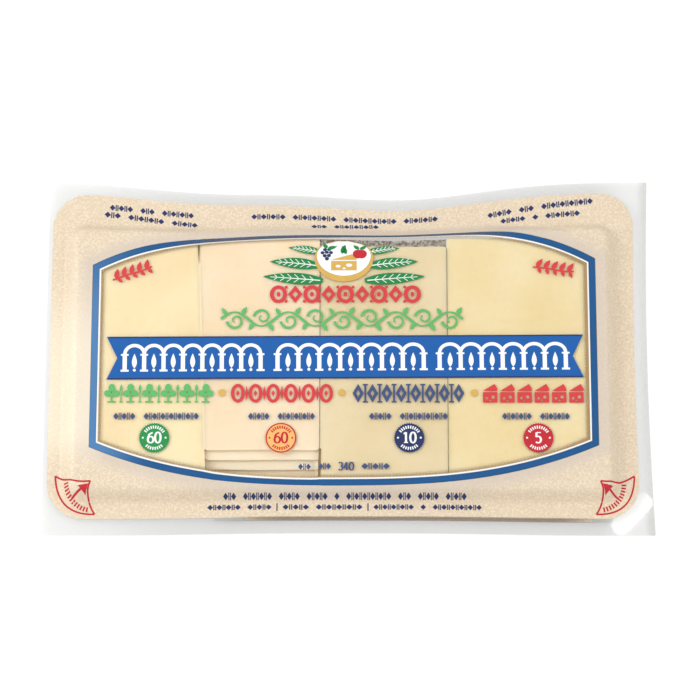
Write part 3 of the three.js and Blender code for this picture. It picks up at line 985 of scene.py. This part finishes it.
class CHEESEPACK_OT_label(bpy.types.Operator):
    """Builds the label's border and the lines round the window"""
    bl_idname = "cheese_pack.label"
    bl_label = "Label"

    def execute(self, context):
        frame_edge = window_outline(-PRINT_GAP - BLUE_OVER, thinner=BLUE_THINNER)
        border = area([rounded(*LABEL, LABEL_CORNER, 1.6), frame_edge], 1.3)
        piece = lay_print("parchment_label", [border], "parchment print", "label_print",
                          gauge=LABEL_GAUGE, nodes=("label_border",))
        store(piece, "from_window", ease(1.5, 9, distance_to(border[0], frame_edge)))
        u, v = border[0].T
        # A painted sheen along the label's left side
        store(piece, "painted_left_sheen", 0.42 * ease(-117, -128, u) * ease(50, -5, v) * ease(-64, -38, v))
        lip = area([rounded(-50, 120, LABEL[2] - 1.5, LABEL[2] - 0.25, 0.5, 1.6)])
        piece = lay_print("label_lip", [lip], "parchment print", "label_print", gauge=0.1)
        store(piece, "from_window", 0.8)
        self.front_edge_shade()
        self.window_lines()
        self.window_shade()
        self.top_line_shade()
        return {"FINISHED"}

    def window_lines(self):
        """The blue line and the white line round the window."""
        blue_edge = window_outline(-BLUE_OVER, thinner=BLUE_THINNER)
        blue = area([blue_edge, window_outline(BLUE_LINE - PRINT_GAP)], 1.3)
        piece = lay_print("blue_window_line", [blue], "line blue ink", "blue_print",
                          gauge=LABEL_GAUGE, nodes=("window_blue_line",))
        u, v = blue[0].T
        # A painted sheen along the blue line's left side
        store(piece, "painted_left_sheen", 0.3 * ease(-95, -124, u) * ease(75, 15, v) * ease(-66, -50, v))
        white_edge = window_outline(BLUE_LINE + WHITE_LINE, thinner=-WHITE_THINNER)
        white = area([window_outline(BLUE_LINE), white_edge], 1.3)
        lay_print("white_window_line", [white], "white ink", "white_print", gauge=LABEL_GAUGE,
                  nodes=("window_white_line",))

    def window_shade(self):
        """The soft brownish shade inside the white line, wider along the window's right side."""
        outer = window_outline(BLUE_LINE + WHITE_LINE - 0.4, thinner=-WHITE_THINNER)
        band = area([outer, window_outline(BLUE_LINE + WHITE_LINE + 2.1, thinner=-WHITE_THINNER)], 0.6)
        piece = lay_print("window_shadow_line", [band], "brown shadow ink", "white_print",
                          lift=ON_PRINT, gauge=0.04)
        u, v = band[0].T
        right_side = ease(100, 120, u)
        away = ease(mix(0.3, 1.2, right_side), 2.1, distance_to(band[0], outer))
        fade = mix(0.4, 0.6, right_side) * (1 - away)
        fade *= 1 - 0.5 * ease(40, 55, v) * ease(100, 60, np.abs(u))
        store(piece, "fade", fade)

    def front_edge_shade(self):
        """The shade along the label's front edge, where the label curls over its lip."""
        band = area([rounded(-66, 130, LABEL[2] - 1.9, LABEL[2] + 1.0, 0.5, 1.2)], 0.5)
        piece = lay_print("front_edge_shade", [band], "umber shade", "label_print",
                          lift=LABEL_GAUGE + 0.03, gauge=0.03)
        u, v = band[0].T
        ends = ease(-66, -30, u) * ease(130, 100, u)
        curl = 0.15 * np.exp(-((v - LABEL[2] + 0.15) / 0.35) ** 2)
        store(piece, "fade", ends * (curl + 0.35 * ease(LABEL[2] + 0.6, LABEL[2] - 0.3, v)))

    def top_line_shade(self):
        """The shade on the window's lines behind the middle stacks, where the film turns down."""
        def upper(inset, thinner=0.0):
            outline = window_outline(inset, thinner=thinner)
            return outline[(outline[:, 1] > 0) & (outline[:, 0] > -95) & (outline[:, 0] < 88)]

        outer, inner = upper(-BLUE_OVER - 0.2, BLUE_THINNER), upper(BLUE_LINE)
        band = area([np.concatenate((outer, inner[::-1]))], 0.7)
        piece = lay_print("top_line_shade", [band], "grey shadow ink", "blue_print",
                          lift=LABEL_GAUGE + 0.08, gauge=0.03)
        u = band[0][:, 0]
        ends = ease(-95, -60, u) * ease(88, 62, u)
        from_edge = distance_to(band[0], dense(outer, 0.5))
        store(piece, "fade", 0.32 * ends * ease(0, 0.5, from_edge))


def arcade(first, last, y, bays):
    """A row of round arches on columns, with a small leaf in every arch."""
    pitch = (last - first) / bays
    foot, spring = y - 7.0, y + 1.6
    outlines = []
    for index in range(bays + 1):
        x = first + pitch * index
        outlines.append(box(x, (foot + spring) / 2, 1.05, (spring - foot) / 2))
        outlines.append(box(x, foot + 0.45, 2.0, 0.5))
        outlines.append(box(x, spring, 1.9, 0.45))
    parts = []
    for index in range(bays):
        x = first + pitch * (index + 0.5)
        turn = np.linspace(0, math.pi, 22)
        reach_x, reach_y = pitch / 2, 4.6
        path = np.stack((x + reach_x * np.cos(turn), spring + 0.2 + reach_y * np.sin(turn)), 1)
        outlines.append(stroke(path, 1.7))
        parts.append(area([leaf(x, foot + 1.6, 7.6, 1.25, 90)]))
        parts.append(area([ellipse(x, foot + 0.7, 0.75, 0.75, 14)]))
    return [merged(outlines), *parts]


class CHEESEPACK_OT_banner(bpy.types.Operator):
    """Builds the banner with its frieze"""
    bl_idname = "cheese_pack.banner"
    bl_label = "Banner"

    def execute(self, context):
        lay_print("blue_banner", [area([banner_outline()], 2.0)], "blue ink", "blue_print",
                  gauge=LABEL_GAUGE, nodes=("banner",))
        edges = []
        for y in (BANNER_TOP - 0.35, BANNER_BOTTOM + 0.35):
            edge = line((BANNER_LEFT + 0.9, y), (BANNER_RIGHT - 0.9, y), 0.6, 120)
            edges.append(area([banner_turned(edge)]))
        lay_print("banner_edge_lines", edges, "navy ink", "navy_print", lift=ON_PRINT)
        frieze = []
        for first, last, bays in FRIEZE:
            frieze += arcade(first, last, BANNER_MIDDLE, bays)
        frieze = [(banner_turned(points), faces) for points, faces in frieze]
        lay_print("banner_frieze", frieze, "white ink", "white_print", lift=ON_PRINT)
        return {"FINISHED"}


def bow_path(x, y, reach_x, reach_y, first, last, steps=24):
    """Part of an ellipse, between two angles in degrees."""
    turn = np.radians(np.linspace(first, last, steps))
    return np.stack((x + reach_x * np.cos(turn), y + reach_y * np.sin(turn)), 1)


def figure_paths(digit):
    """The strokes of a plain upright figure, one unit high and about half as wide."""
    def straight(*points):
        return smooth_path(points, 6)

    figures = {
        "0": [bow_path(0, 0.5, 0.25, 0.5, 90, 450)],
        "1": [straight((0.02, 0), (0.02, 1)),
              straight((-0.19, 0.84), (0.02, 0.98)),
              straight((-0.17, 0.03), (0.21, 0.03))],
        "3": [bow_path(-0.02, 0.74, 0.21, 0.26, 150, -90),
              bow_path(-0.02, 0.26, 0.25, 0.26, 90, -150)],
        "4": [straight((0.1, 0), (0.1, 1)),
              straight((0.1, 1), (-0.27, 0.3)),
              straight((-0.27, 0.3), (0.27, 0.3))],
        "5": [straight((-0.17, 0.97), (0.22, 0.97)),
              straight((-0.17, 0.97), (-0.19, 0.55)),
              bow_path(-0.03, 0.31, 0.25, 0.31, 128, -140)],
        "6": [bow_path(0, 0.3, 0.25, 0.3, 90, 450),
              smooth_path([(0.18, 0.97), (-0.12, 0.78), (-0.25, 0.34)], 8)],
    }
    return figures[digit]


def number_outlines(text, x, y, height, weight):
    """A plain number, centred at x, y, as a broad nib draws it: upright strokes thick and level ones thin."""
    pitch = 0.66 * height
    figures = []
    for place_in_row, digit in enumerate(text):
        centre = x + (place_in_row - (len(text) - 1) / 2) * pitch
        outlines = []
        for path in figure_paths(digit):
            path = path * height + (centre, y - height / 2)
            along = np.gradient(path, axis=0)
            upright = np.abs(along[:, 1]) / np.maximum(np.hypot(along[:, 0], along[:, 1]), 1e-9)
            outlines.append(stroke(path, weight * mix(0.5, 1.0, upright)))
        figures.append(merged(outlines))
    return figures


class CHEESEPACK_OT_badges(bpy.types.Operator):
    """Builds the four round badges with their numbers"""
    bl_idname = "cheese_pack.badges"
    bl_label = "Badges"

    def execute(self, context):
        for badge, (x, number) in BADGES.items():
            plain = badge == "orange"
            edge = scallop(x, BADGE_ROW, BADGE_RADIUS, 0.4, 40)
            if plain:
                edge = ellipse(x, BADGE_ROW, BADGE_RADIUS, BADGE_RADIUS, 72)
            lay_print(f"{badge}_disc", [area([edge], 2.0)], f"{badge} ink", f"{badge}_print",
                      gauge=LABEL_GAUGE, nodes=(f"{badge}_badge",))
            ink, slot = ("red ink", "red_print") if plain else ("white ink", "white_print")
            marks = number_outlines(number, x, BADGE_ROW + 0.1, 5.4, 1.05)
            for angle in (*range(35, 150, 12), *range(228, 318, 12)):
                tick = line((x + 4.7, BADGE_ROW), (x + 6.2, BADGE_ROW), 0.62)
                marks.append(area([turned(tick, x, BADGE_ROW, angle)]))
            for angle in (0, 180):
                marks.append(area([turned(ellipse(x + 5.6, BADGE_ROW, 0.5, 0.5, 12), x, BADGE_ROW, angle)]))
            if plain:
                marks.append(area([ellipse(x, BADGE_ROW, reach, reach, 60) for reach in (7.55, 6.95)]))
            lay_print(f"{badge}_badge_marks", marks, ink, slot, lift=ON_PRINT)
        return {"FINISHED"}


def palm(x, y, length, half_width, degrees, droop):
    """A broad palm leaf from its stalk at x, y, as its outline and the outlines of its light veins."""
    along = np.linspace(0, 1, 26)
    spine = np.stack((along * length, -droop * along ** 2), 1)
    width = 2 * half_width * np.sin(math.pi * np.clip(along * 0.94 + 0.06, 0, 1) ** 0.85) ** 0.8
    edge = stroke(spine, np.maximum(width, 0.02))
    veins = [stroke(spine[1:-3], np.linspace(0.55, 0.3, len(spine) - 4))]
    for index in range(4, 21, 3):
        for side in (1, -1):
            start = spine[index]
            reach = 0.36 * width[index]
            veins.append(line(start + (0.3, side * 0.35), start + (0.3 + reach, side * reach), 0.32))
    edge, *veins = (turned(outline + (x, y), x, y, degrees) for outline in (edge, *veins))
    return edge, veins


def mirrored(outline, x):
    """The outline's mirror image on the other side of x, going round the same way."""
    return (outline * (-1, 1) + (2 * x, 0))[::-1]


class CHEESEPACK_OT_medallion(bpy.types.Operator):
    """Builds the medallion between its palm leaves"""
    bl_idname = "cheese_pack.medallion"
    bl_label = "Medallion"

    def execute(self, context):
        self.palm_leaves()
        self.field()
        return {"FINISHED"}

    def palm_leaves(self):
        """Three pairs of palm leaves, one above the other."""
        x = MEDALLION_X
        # As (start, level, length, half width, rise in degrees, droop)
        tiers = (
            (10.5, 36.9, 30.0, 3.0, 5, 0.4),
            (12.5, 44.6, 24.5, 2.9, 9, 1.6),
            (11.5, 52.0, 16.5, 2.5, 18, 2.0),
        )
        for tier, (start, level, length, half_width, rise, droop) in enumerate(tiers):
            edge, veins = palm(x + start, level, length, half_width, rise, droop)
            pair = [area([edge], 1.8), area([mirrored(edge, x)], 1.8)]
            lay_print(f"palm_leaves_{tier + 1}", pair, "leaf green ink", "green_print",
                      lift=0.02 * tier, gauge=FINE_GAUGE)
            light = [area([vein]) for vein in veins] + [area([mirrored(vein, x)]) for vein in veins]
            lay_print(f"palm_veins_{tier + 1}", light, "white ink", "white_print",
                      lift=0.02 * tier + 0.055, gauge=0.02)

    def field(self):
        """The medallion itself: a gold rim and a white field with a wedge, berries, fruit and leaves."""
        x, y = MEDALLION_X, MEDALLION_Y
        rim = area([ellipse(x, y - 0.9, 14.7, 12.3, 80), ellipse(x, y + 0.35, 13.6, 10.7, 80)])
        white = area([ellipse(x, y + 0.35, 13.5, 10.6, 60)], 1.5)
        bunch = ((0, 0), (2.1, 0.3), (4.2, 0.1), (1.1, -1.8),
                 (3.2, -1.7), (2.2, -3.5), (1.2, 2.0), (3.3, 2.1))
        berries = [area([ellipse(x - 10.7 + dx, y + 2.3 + dy, 1.02, 1.0, 18)]) for dx, dy in bunch]
        fruit = merged([ellipse(x + 7.0, y + 1.6, 2.6, 2.7), ellipse(x + 8.9, y + 1.6, 2.6, 2.7)])
        # As (from the middle, above it, length, half width, degrees)
        leaves = ((-8.2, 4.9, 5.2, 1.2, 20), (-8.6, 5.0, 4.2, 1.1, 110), (8.0, 4.4, 4.6, 1.1, 40),
                  (7.6, 4.4, 4.4, 1.1, 130), (-1.0, 1.6, 6.6, 1.3, 75), (1.2, 1.4, 6.0, 1.2, 110))
        leaves = [area([leaf(x + dx, y + dy, *form)]) for dx, dy, *form in leaves]
        on_white = OVER_LEAVES + 0.06
        pieces = (
            ("medallion_rim", [rim], "gold ink", "orange_print", OVER_LEAVES),
            ("medallion_field", [white], "white ink", "white_print", OVER_LEAVES),
            ("medallion_wedge", wedge(x, y - 3.0, 6.4, 4.4), "gold ink", "orange_print", on_white),
            ("medallion_berries", berries, "navy ink", "navy_print", on_white),
            ("medallion_fruit", [fruit], "red ink", "red_print", on_white),
            ("medallion_leaves", leaves, "leaf green ink", "green_print", on_white + 0.01),
        )
        for name, parts, ink, slot, lift in pieces:
            lay_print(name, parts, ink, slot, lift=lift, gauge=FINE_GAUGE)


def scroll(x, y, radius, turns, start, way, thick, thin):
    """A spiral that winds inwards from the angle start, in degrees, as a stroke."""
    share = np.linspace(0, 1, 44)
    turn = math.radians(start) + way * share * turns * 2 * math.pi
    reach = radius * (1 - 0.78 * share)
    return stroke(np.stack((x + reach * np.cos(turn), y + reach * np.sin(turn)), 1), mix(thick, thin, share))


class CHEESEPACK_OT_title(bpy.types.Operator):
    """Builds the red chain and the green vine under the medallion"""
    bl_idname = "cheese_pack.title"
    bl_label = "Title ornament"

    def execute(self, context):
        self.chain()
        self.vine()
        return {"FINISHED"}

    def chain(self):
        """A chain of rings and lozenges."""
        y = CHAIN_Y
        links = []
        for index in range(CHAIN_LINKS):
            x = CHAIN_X + CHAIN_PITCH * (index - (CHAIN_LINKS - 1) / 2)
            if index % 2:
                links.append(area([lozenge(x, y, 3.5, 4.6), lozenge(x, y, 1.45, 1.9)]))
            else:
                links.append(area([ellipse(x, y, 4.3, 4.6, 36), ellipse(x, y, 2.3, 2.9, 32)]))
                links.append(area([ellipse(x, y, 0.95, 1.3, 16)]))
        for index in range(CHAIN_LINKS - 1):
            x = CHAIN_X + CHAIN_PITCH * (index - (CHAIN_LINKS - 2) / 2)
            x += 0.35 if index % 2 else -0.35
            for side in (1, -1):
                links.append(area([ellipse(x, y + side * 3.7, 0.75, 0.75, 14)]))
        lay_print("red_chain", links, "title red ink", "red_print")

    def vine(self):
        """A running vine with a scroll in every bend, thick and thin like pen strokes."""
        y = VINE_Y
        pitch = (VINE_RIGHT - VINE_LEFT) / VINE_BENDS
        across = np.linspace(VINE_LEFT, VINE_RIGHT, 26 * VINE_BENDS)
        phase = (across - VINE_LEFT) / pitch * math.pi
        stem = np.stack((across, y + 3.6 * np.sin(phase)), 1)
        weight = 0.75 + 0.65 * np.abs(np.cos(phase)) ** 2
        outlines = [stroke(stem, weight)]
        for bend in range(VINE_BENDS):
            way = 1 if bend % 2 == 0 else -1
            x = VINE_LEFT + pitch * (bend + 0.5)
            outlines.append(scroll(x + 0.6, y + way * -0.9, 4.3, 1.15, 90 * way + 95 * way, way, 1.35, 0.6))
            outlines.append(leaf(x + 0.28 * pitch, y + way * 2.4, 4.6, 1.15, 58 * way))
            outlines.append(leaf(x - 0.30 * pitch, y + way * 2.2, 4.2, 1.0, 122 * way))
        lay_print("green_vine", [merged(outlines)], "light green ink", "green_print")


def motif_row(first, last, count, motif, link):
    """Motifs side by side, with a link between two of them."""
    pitch = (last - first) / count
    parts = []
    for index in range(count):
        x = first + pitch * (index + 0.5)
        parts += motif(x, pitch)
        if index + 1 < count:
            parts += link(x + pitch / 2)
    return parts


def trefoil(x, pitch):
    """A clover leaf on a stem with a foot."""
    y, foot = ROW_Y, ROW_Y - ROW_HALF_HEIGHT
    outlines = [ellipse(x, y + ROW_HALF_HEIGHT - 2.0, 1.65, 2.0, 26), box(x, foot + 2.4, 0.5, 2.3),
                box(x, foot + 0.4, 2.0, 0.4)]
    outlines += [ellipse(x + side * 2.0, y - 0.1, 1.75, 1.65, 26) for side in (1, -1)]
    return [merged(outlines)]


def bud(x):
    """A slim bud on a stem with a foot."""
    foot = ROW_Y - ROW_HALF_HEIGHT
    return [merged([box(x, foot + 3.4, 0.32, 3.2), box(x, foot + 0.35, 0.75, 0.35),
                    leaf(x, ROW_Y + 0.6, ROW_HALF_HEIGHT - 0.7, 0.72, 90)])]


def wheel(x, pitch):
    """An upright ring round a lozenge."""
    ring = [ellipse(x, ROW_Y, 3.45, ROW_HALF_HEIGHT, 32), ellipse(x, ROW_Y, 1.75, 0.68 * ROW_HALF_HEIGHT, 28)]
    return [area(ring), area([lozenge(x, ROW_Y, 0.85, 1.7)])]


def slim_lozenge(x):
    return [area([lozenge(x, ROW_Y, 0.75, 0.85 * ROW_HALF_HEIGHT)])]


def open_lozenge(x, pitch):
    return [area([lozenge(x, ROW_Y, 2.75, ROW_HALF_HEIGHT), lozenge(x, ROW_Y, 0.95, 0.4 * ROW_HALF_HEIGHT)])]


def footed_pin(x):
    """A pin with a foot at both ends."""
    reach = ROW_HALF_HEIGHT - 0.4
    feet = [box(x, ROW_Y + side * reach, 1.25, 0.4) for side in (-1, 1)]
    return [merged([box(x, ROW_Y, 0.5, reach), *feet])]


def wedge(x, y, half_width, half_height):
    """A wedge of cheese with holes: its cut side and its top."""
    w, h = half_width, half_height
    side = np.array([(x - w, y - h), (x + w, y - h), (x + w, y + 0.12 * h), (x - w, y + 0.12 * h)])
    top = np.array([(x - w, y + 0.25 * h), (x + w, y + 0.25 * h), (x + w, y + 0.5 * h),
                    (x + 0.62 * w, y + h)])
    holes = [ellipse(x - 0.45 * w, y - 0.5 * h, 0.2 * w, 0.17 * h, 14),
             ellipse(x + 0.4 * w, y - 0.38 * h, 0.25 * w, 0.2 * h, 16),
             ellipse(x + 0.02 * w, y - 0.76 * h, 0.13 * w, 0.11 * h, 12)]
    return [area([side, *holes]), area([top])]


def row_wedge(x, pitch):
    return wedge(x, ROW_Y, 0.42 * pitch, ROW_HALF_HEIGHT)


def nothing(x):
    return []


def pins_and_lozenges(first, last, y, half_height, groups, tilt):
    """A fine row of small lozenges between pairs of pins, in groups of the given counts."""
    gap = 2.2 * half_height
    steps = sum(groups) + 0.5 * (sum(groups) - len(groups))
    pitch = (last - first - gap * (len(groups) - 1)) / steps
    outlines = []
    x = first
    for count in groups:
        for index in range(count):
            outlines.append(lozenge(x + 0.5 * pitch, y, 0.48 * pitch, half_height))
            x += pitch
            if index + 1 < count:
                for place_in_gap in (0.1, 0.4):
                    outlines.append(box(x + place_in_gap * pitch, y, 0.085 * pitch, half_height))
                x += 0.5 * pitch
        x += gap
    middle = (first + last) / 2
    return [area([turned(outline, middle, y, tilt)]) for outline in outlines]


def fine_rows(rows):
    return [part for row in rows for part in pins_and_lozenges(*row)]


def spray(x, y, tilt):
    """A curved twig with five pairs of leaves."""
    twig = smooth_path([(x - 10.3, y - 2.6), (x - 3, y - 1.4), (x + 4, y - 0.9), (x + 10.2, y + 0.4)], 8)
    outlines = [stroke(twig, 0.8)]
    for index in range(5):
        at = x - 8.6 + 3.9 * index
        level = y - 2.2 + 0.45 * index
        outlines += [leaf(at, level, 5.4, 1.25, 68), leaf(at + 1.0, level, 3.4, 0.95, -52)]
    return merged([turned(outline, x, y, tilt) for outline in outlines])


class CHEESEPACK_OT_rows(bpy.types.Operator):
    """Builds the coloured rows of motifs and the small lines"""
    bl_idname = "cheese_pack.rows"
    bl_label = "Rows"

    def execute(self, context):
        rows = (
            ("trefoil_row", (-121.8, -65.9, 6, trefoil, bud), "light green ink", "green_print"),
            ("wheel_row", (-59.1, -6.7, 6, wheel, slim_lozenge), "title red ink", "red_print"),
            ("lozenge_row", (1.2, 58.1, 8, open_lozenge, footed_pin), "slate ink", "navy_print"),
            ("wedge_row", (65.8, 117.0, 6, row_wedge, nothing), "title red ink", "red_print"),
        )
        for name, row, ink, slot in rows:
            lay_print(name, motif_row(*row), ink, slot)
        dots = [area([ellipse(x, ROW_Y + 0.3, 1.75, 1.75)]) for x in DOTS_X]
        lay_print("gold_dots", dots, "gold ink", "orange_print")
        small = fine_rows(ROWS_OVER_CHEESE) + number_outlines("340", WEIGHT_X, WEIGHT_Y, 4.0, 0.85)
        lay_print("small_lines", small, "slate ink", "navy_print", lift=0.2)
        bars = [area([box(x, y, 0.28, 2.0)]) for x, y in BARS_IN_FRONT]
        border = fine_rows(ROWS_IN_FRONT) + bars + fine_rows(ROWS_BEHIND)
        lay_print("border_lines", border, "navy ink", "navy_print", lift=ON_PRINT)
        sprays = [spray(*place_and_tilt) for place_and_tilt in SPRAYS]
        lay_print("red_corner_sprays", sprays, "title red ink", "red_print")
        return {"FINISHED"}


class CHEESEPACK_OT_corner_marks(bpy.types.Operator):
    """Builds the two corner marks that show where the pack opens"""
    bl_idname = "cheese_pack.corner_marks"
    bl_label = "Corner marks"

    def execute(self, context):
        parts = []
        for side, shift in ((1, 0.0), (-1, -2.9)):
            def place_at(points):
                return np.array([(side * x + shift, y) for x, y in points], float)

            def curve(start, bend, end, steps=16):
                t = np.linspace(0, 1, steps)[:, None]
                start, bend, end = (np.array(point) for point in (start, bend, end))
                return place_at(mix(mix(start, bend, t), mix(bend, end, t), t))

            inner, high, low = (123.8, -66.0), (141.8, -61.8), (122.0, -81.0)
            dial = np.array((123.2, -66.2))
            sides = (curve(inner, (132.5, -67.3), high), curve(inner, (127.2, -73.5), low),
                     curve(high, (140.8, -81.6), low))
            parts.append(merged([stroke(path, 0.85) for path in sides]))
            shaft = line(*place_at([(133.2, -73.3), (127.2, -69.0)]), 1.0)
            head = place_at([(124.9, -67.3), (130.0, -68.2), (126.3, -72.4)])
            parts.append(merged([shaft, head], 1.0))
            for angle in range(-78, 14, 7):
                turn = math.radians(angle)
                way = np.array((math.cos(turn), math.sin(turn)))
                near, far = (dial + reach * way for reach in (11.6, 14.0))
                if -80 < far[1] < -65.2:
                    parts.append(area([line(*place_at([near, far]), 0.8)]))
        lay_print("red_corner_marks", parts, "red ink", "red_print", lift=ON_PRINT)
        return {"FINISHED"}


class CHEESEPACK_OT_stage(bpy.types.Operator):
    """Builds the floor, the lights and the camera"""
    bl_idname = "cheese_pack.stage"
    bl_label = "Stage"

    def execute(self, context):
        scene = context.scene
        scene.view_settings.view_transform = "Standard"
        # White acrylic lit softly from below, which keeps the shadows under the clear film faint
        floor_material, tree = new_material("opal acrylic studio floor")
        body = add_node(tree, "ShaderNodeBsdfDiffuse", {"Color": rgba(linear("adadad"))})
        glow = add_node(tree, "ShaderNodeEmission", {"Color": WHITE, "Strength": FLOOR_GLOW})
        both = add_node(tree, "ShaderNodeAddShader", {0: body.outputs["BSDF"], 1: glow.outputs["Emission"]})
        finished(floor_material, both.outputs["Shader"])
        corners = np.column_stack((box(0, 0, FLOOR_REACH, FLOOR_REACH), np.zeros(4)))
        floor = new_piece("studio_floor", corners, [(0, 1, 2, 3)], floor_material)

        world = bpy.data.worlds.new("studio")
        scene.world = world
        world.use_nodes = True
        background = world.node_tree.nodes["Background"]
        background.inputs["Color"].default_value = WHITE
        background.inputs["Strength"].default_value = SKY_STRENGTH

        for name, spot, width, watts in SOFTBOXES:
            light = bpy.data.lights.new(name, "AREA")
            light.shape = "SQUARE"
            light.size = width
            light.energy = watts
            lamp = bpy.data.objects.new(name, light)
            lamp.location = spot
            lamp.rotation_euler = (-Vector(spot)).to_track_quat("-Z", "Y").to_euler()
            scene.collection.objects.link(lamp)

        camera = bpy.data.cameras.new("camera")
        camera.lens = CAMERA_LENS
        camera.sensor_width = 36.0
        camera.clip_end = 20.0
        eye = bpy.data.objects.new("camera", camera)
        elevation = math.radians(CAMERA_ELEVATION)
        upright, level = math.sin(elevation), math.cos(elevation)
        aim = Vector((AIM_X, AIM_UP_THE_PICTURE * upright, AIM_UP_THE_PICTURE * level)) * MM
        eye.location = aim + Vector((0, -CAMERA_AWAY * level, CAMERA_AWAY * upright))
        eye.rotation_euler = (math.radians(90) - elevation, 0, 0)
        scene.collection.objects.link(eye)
        scene.camera = eye
        return {"FINISHED"}


class CHEESEPACK_PT_panel(bpy.types.Panel):
    """Lists the pack's pieces, sizes and colours"""
    bl_idname = "CHEESEPACK_PT_panel"
    bl_label = "Sliced Cheese Pack"
    bl_space_type = "VIEW_3D"
    bl_region_type = "UI"
    bl_category = "Cheese Pack"

    def draw(self, context):
        for operator in OPERATORS:
            self.layout.operator(operator.bl_idname)
        for group in (context.scene.cheese_pack_sizes, context.scene.cheese_pack_colours):
            for name in group.bl_rna.properties.keys():
                if name not in ("rna_type", "name"):
                    self.layout.prop(group, name)


OPERATORS = (
    CHEESEPACK_OT_films,
    CHEESEPACK_OT_slices,
    CHEESEPACK_OT_label,
    CHEESEPACK_OT_banner,
    CHEESEPACK_OT_badges,
    CHEESEPACK_OT_medallion,
    CHEESEPACK_OT_title,
    CHEESEPACK_OT_rows,
    CHEESEPACK_OT_corner_marks,
    CHEESEPACK_OT_stage,
)
CLASSES = (CheesePackSizes, CheesePackColours, *OPERATORS, CHEESEPACK_PT_panel)


def register():
    for cls in CLASSES:
        bpy.utils.register_class(cls)
    bpy.types.Scene.cheese_pack_sizes = PointerProperty(type=CheesePackSizes)
    bpy.types.Scene.cheese_pack_colours = PointerProperty(type=CheesePackColours)


def unregister():
    del bpy.types.Scene.cheese_pack_colours
    del bpy.types.Scene.cheese_pack_sizes
    for cls in reversed(CLASSES):
        bpy.utils.unregister_class(cls)


def main():
    register()
    bpy.ops.cheese_pack.films()
    bpy.ops.cheese_pack.slices()
    bpy.ops.cheese_pack.label()
    bpy.ops.cheese_pack.banner()
    bpy.ops.cheese_pack.badges()
    bpy.ops.cheese_pack.medallion()
    bpy.ops.cheese_pack.title()
    bpy.ops.cheese_pack.rows()
    bpy.ops.cheese_pack.corner_marks()
    bpy.ops.cheese_pack.stage()


if __name__ == "__main__":
    main()
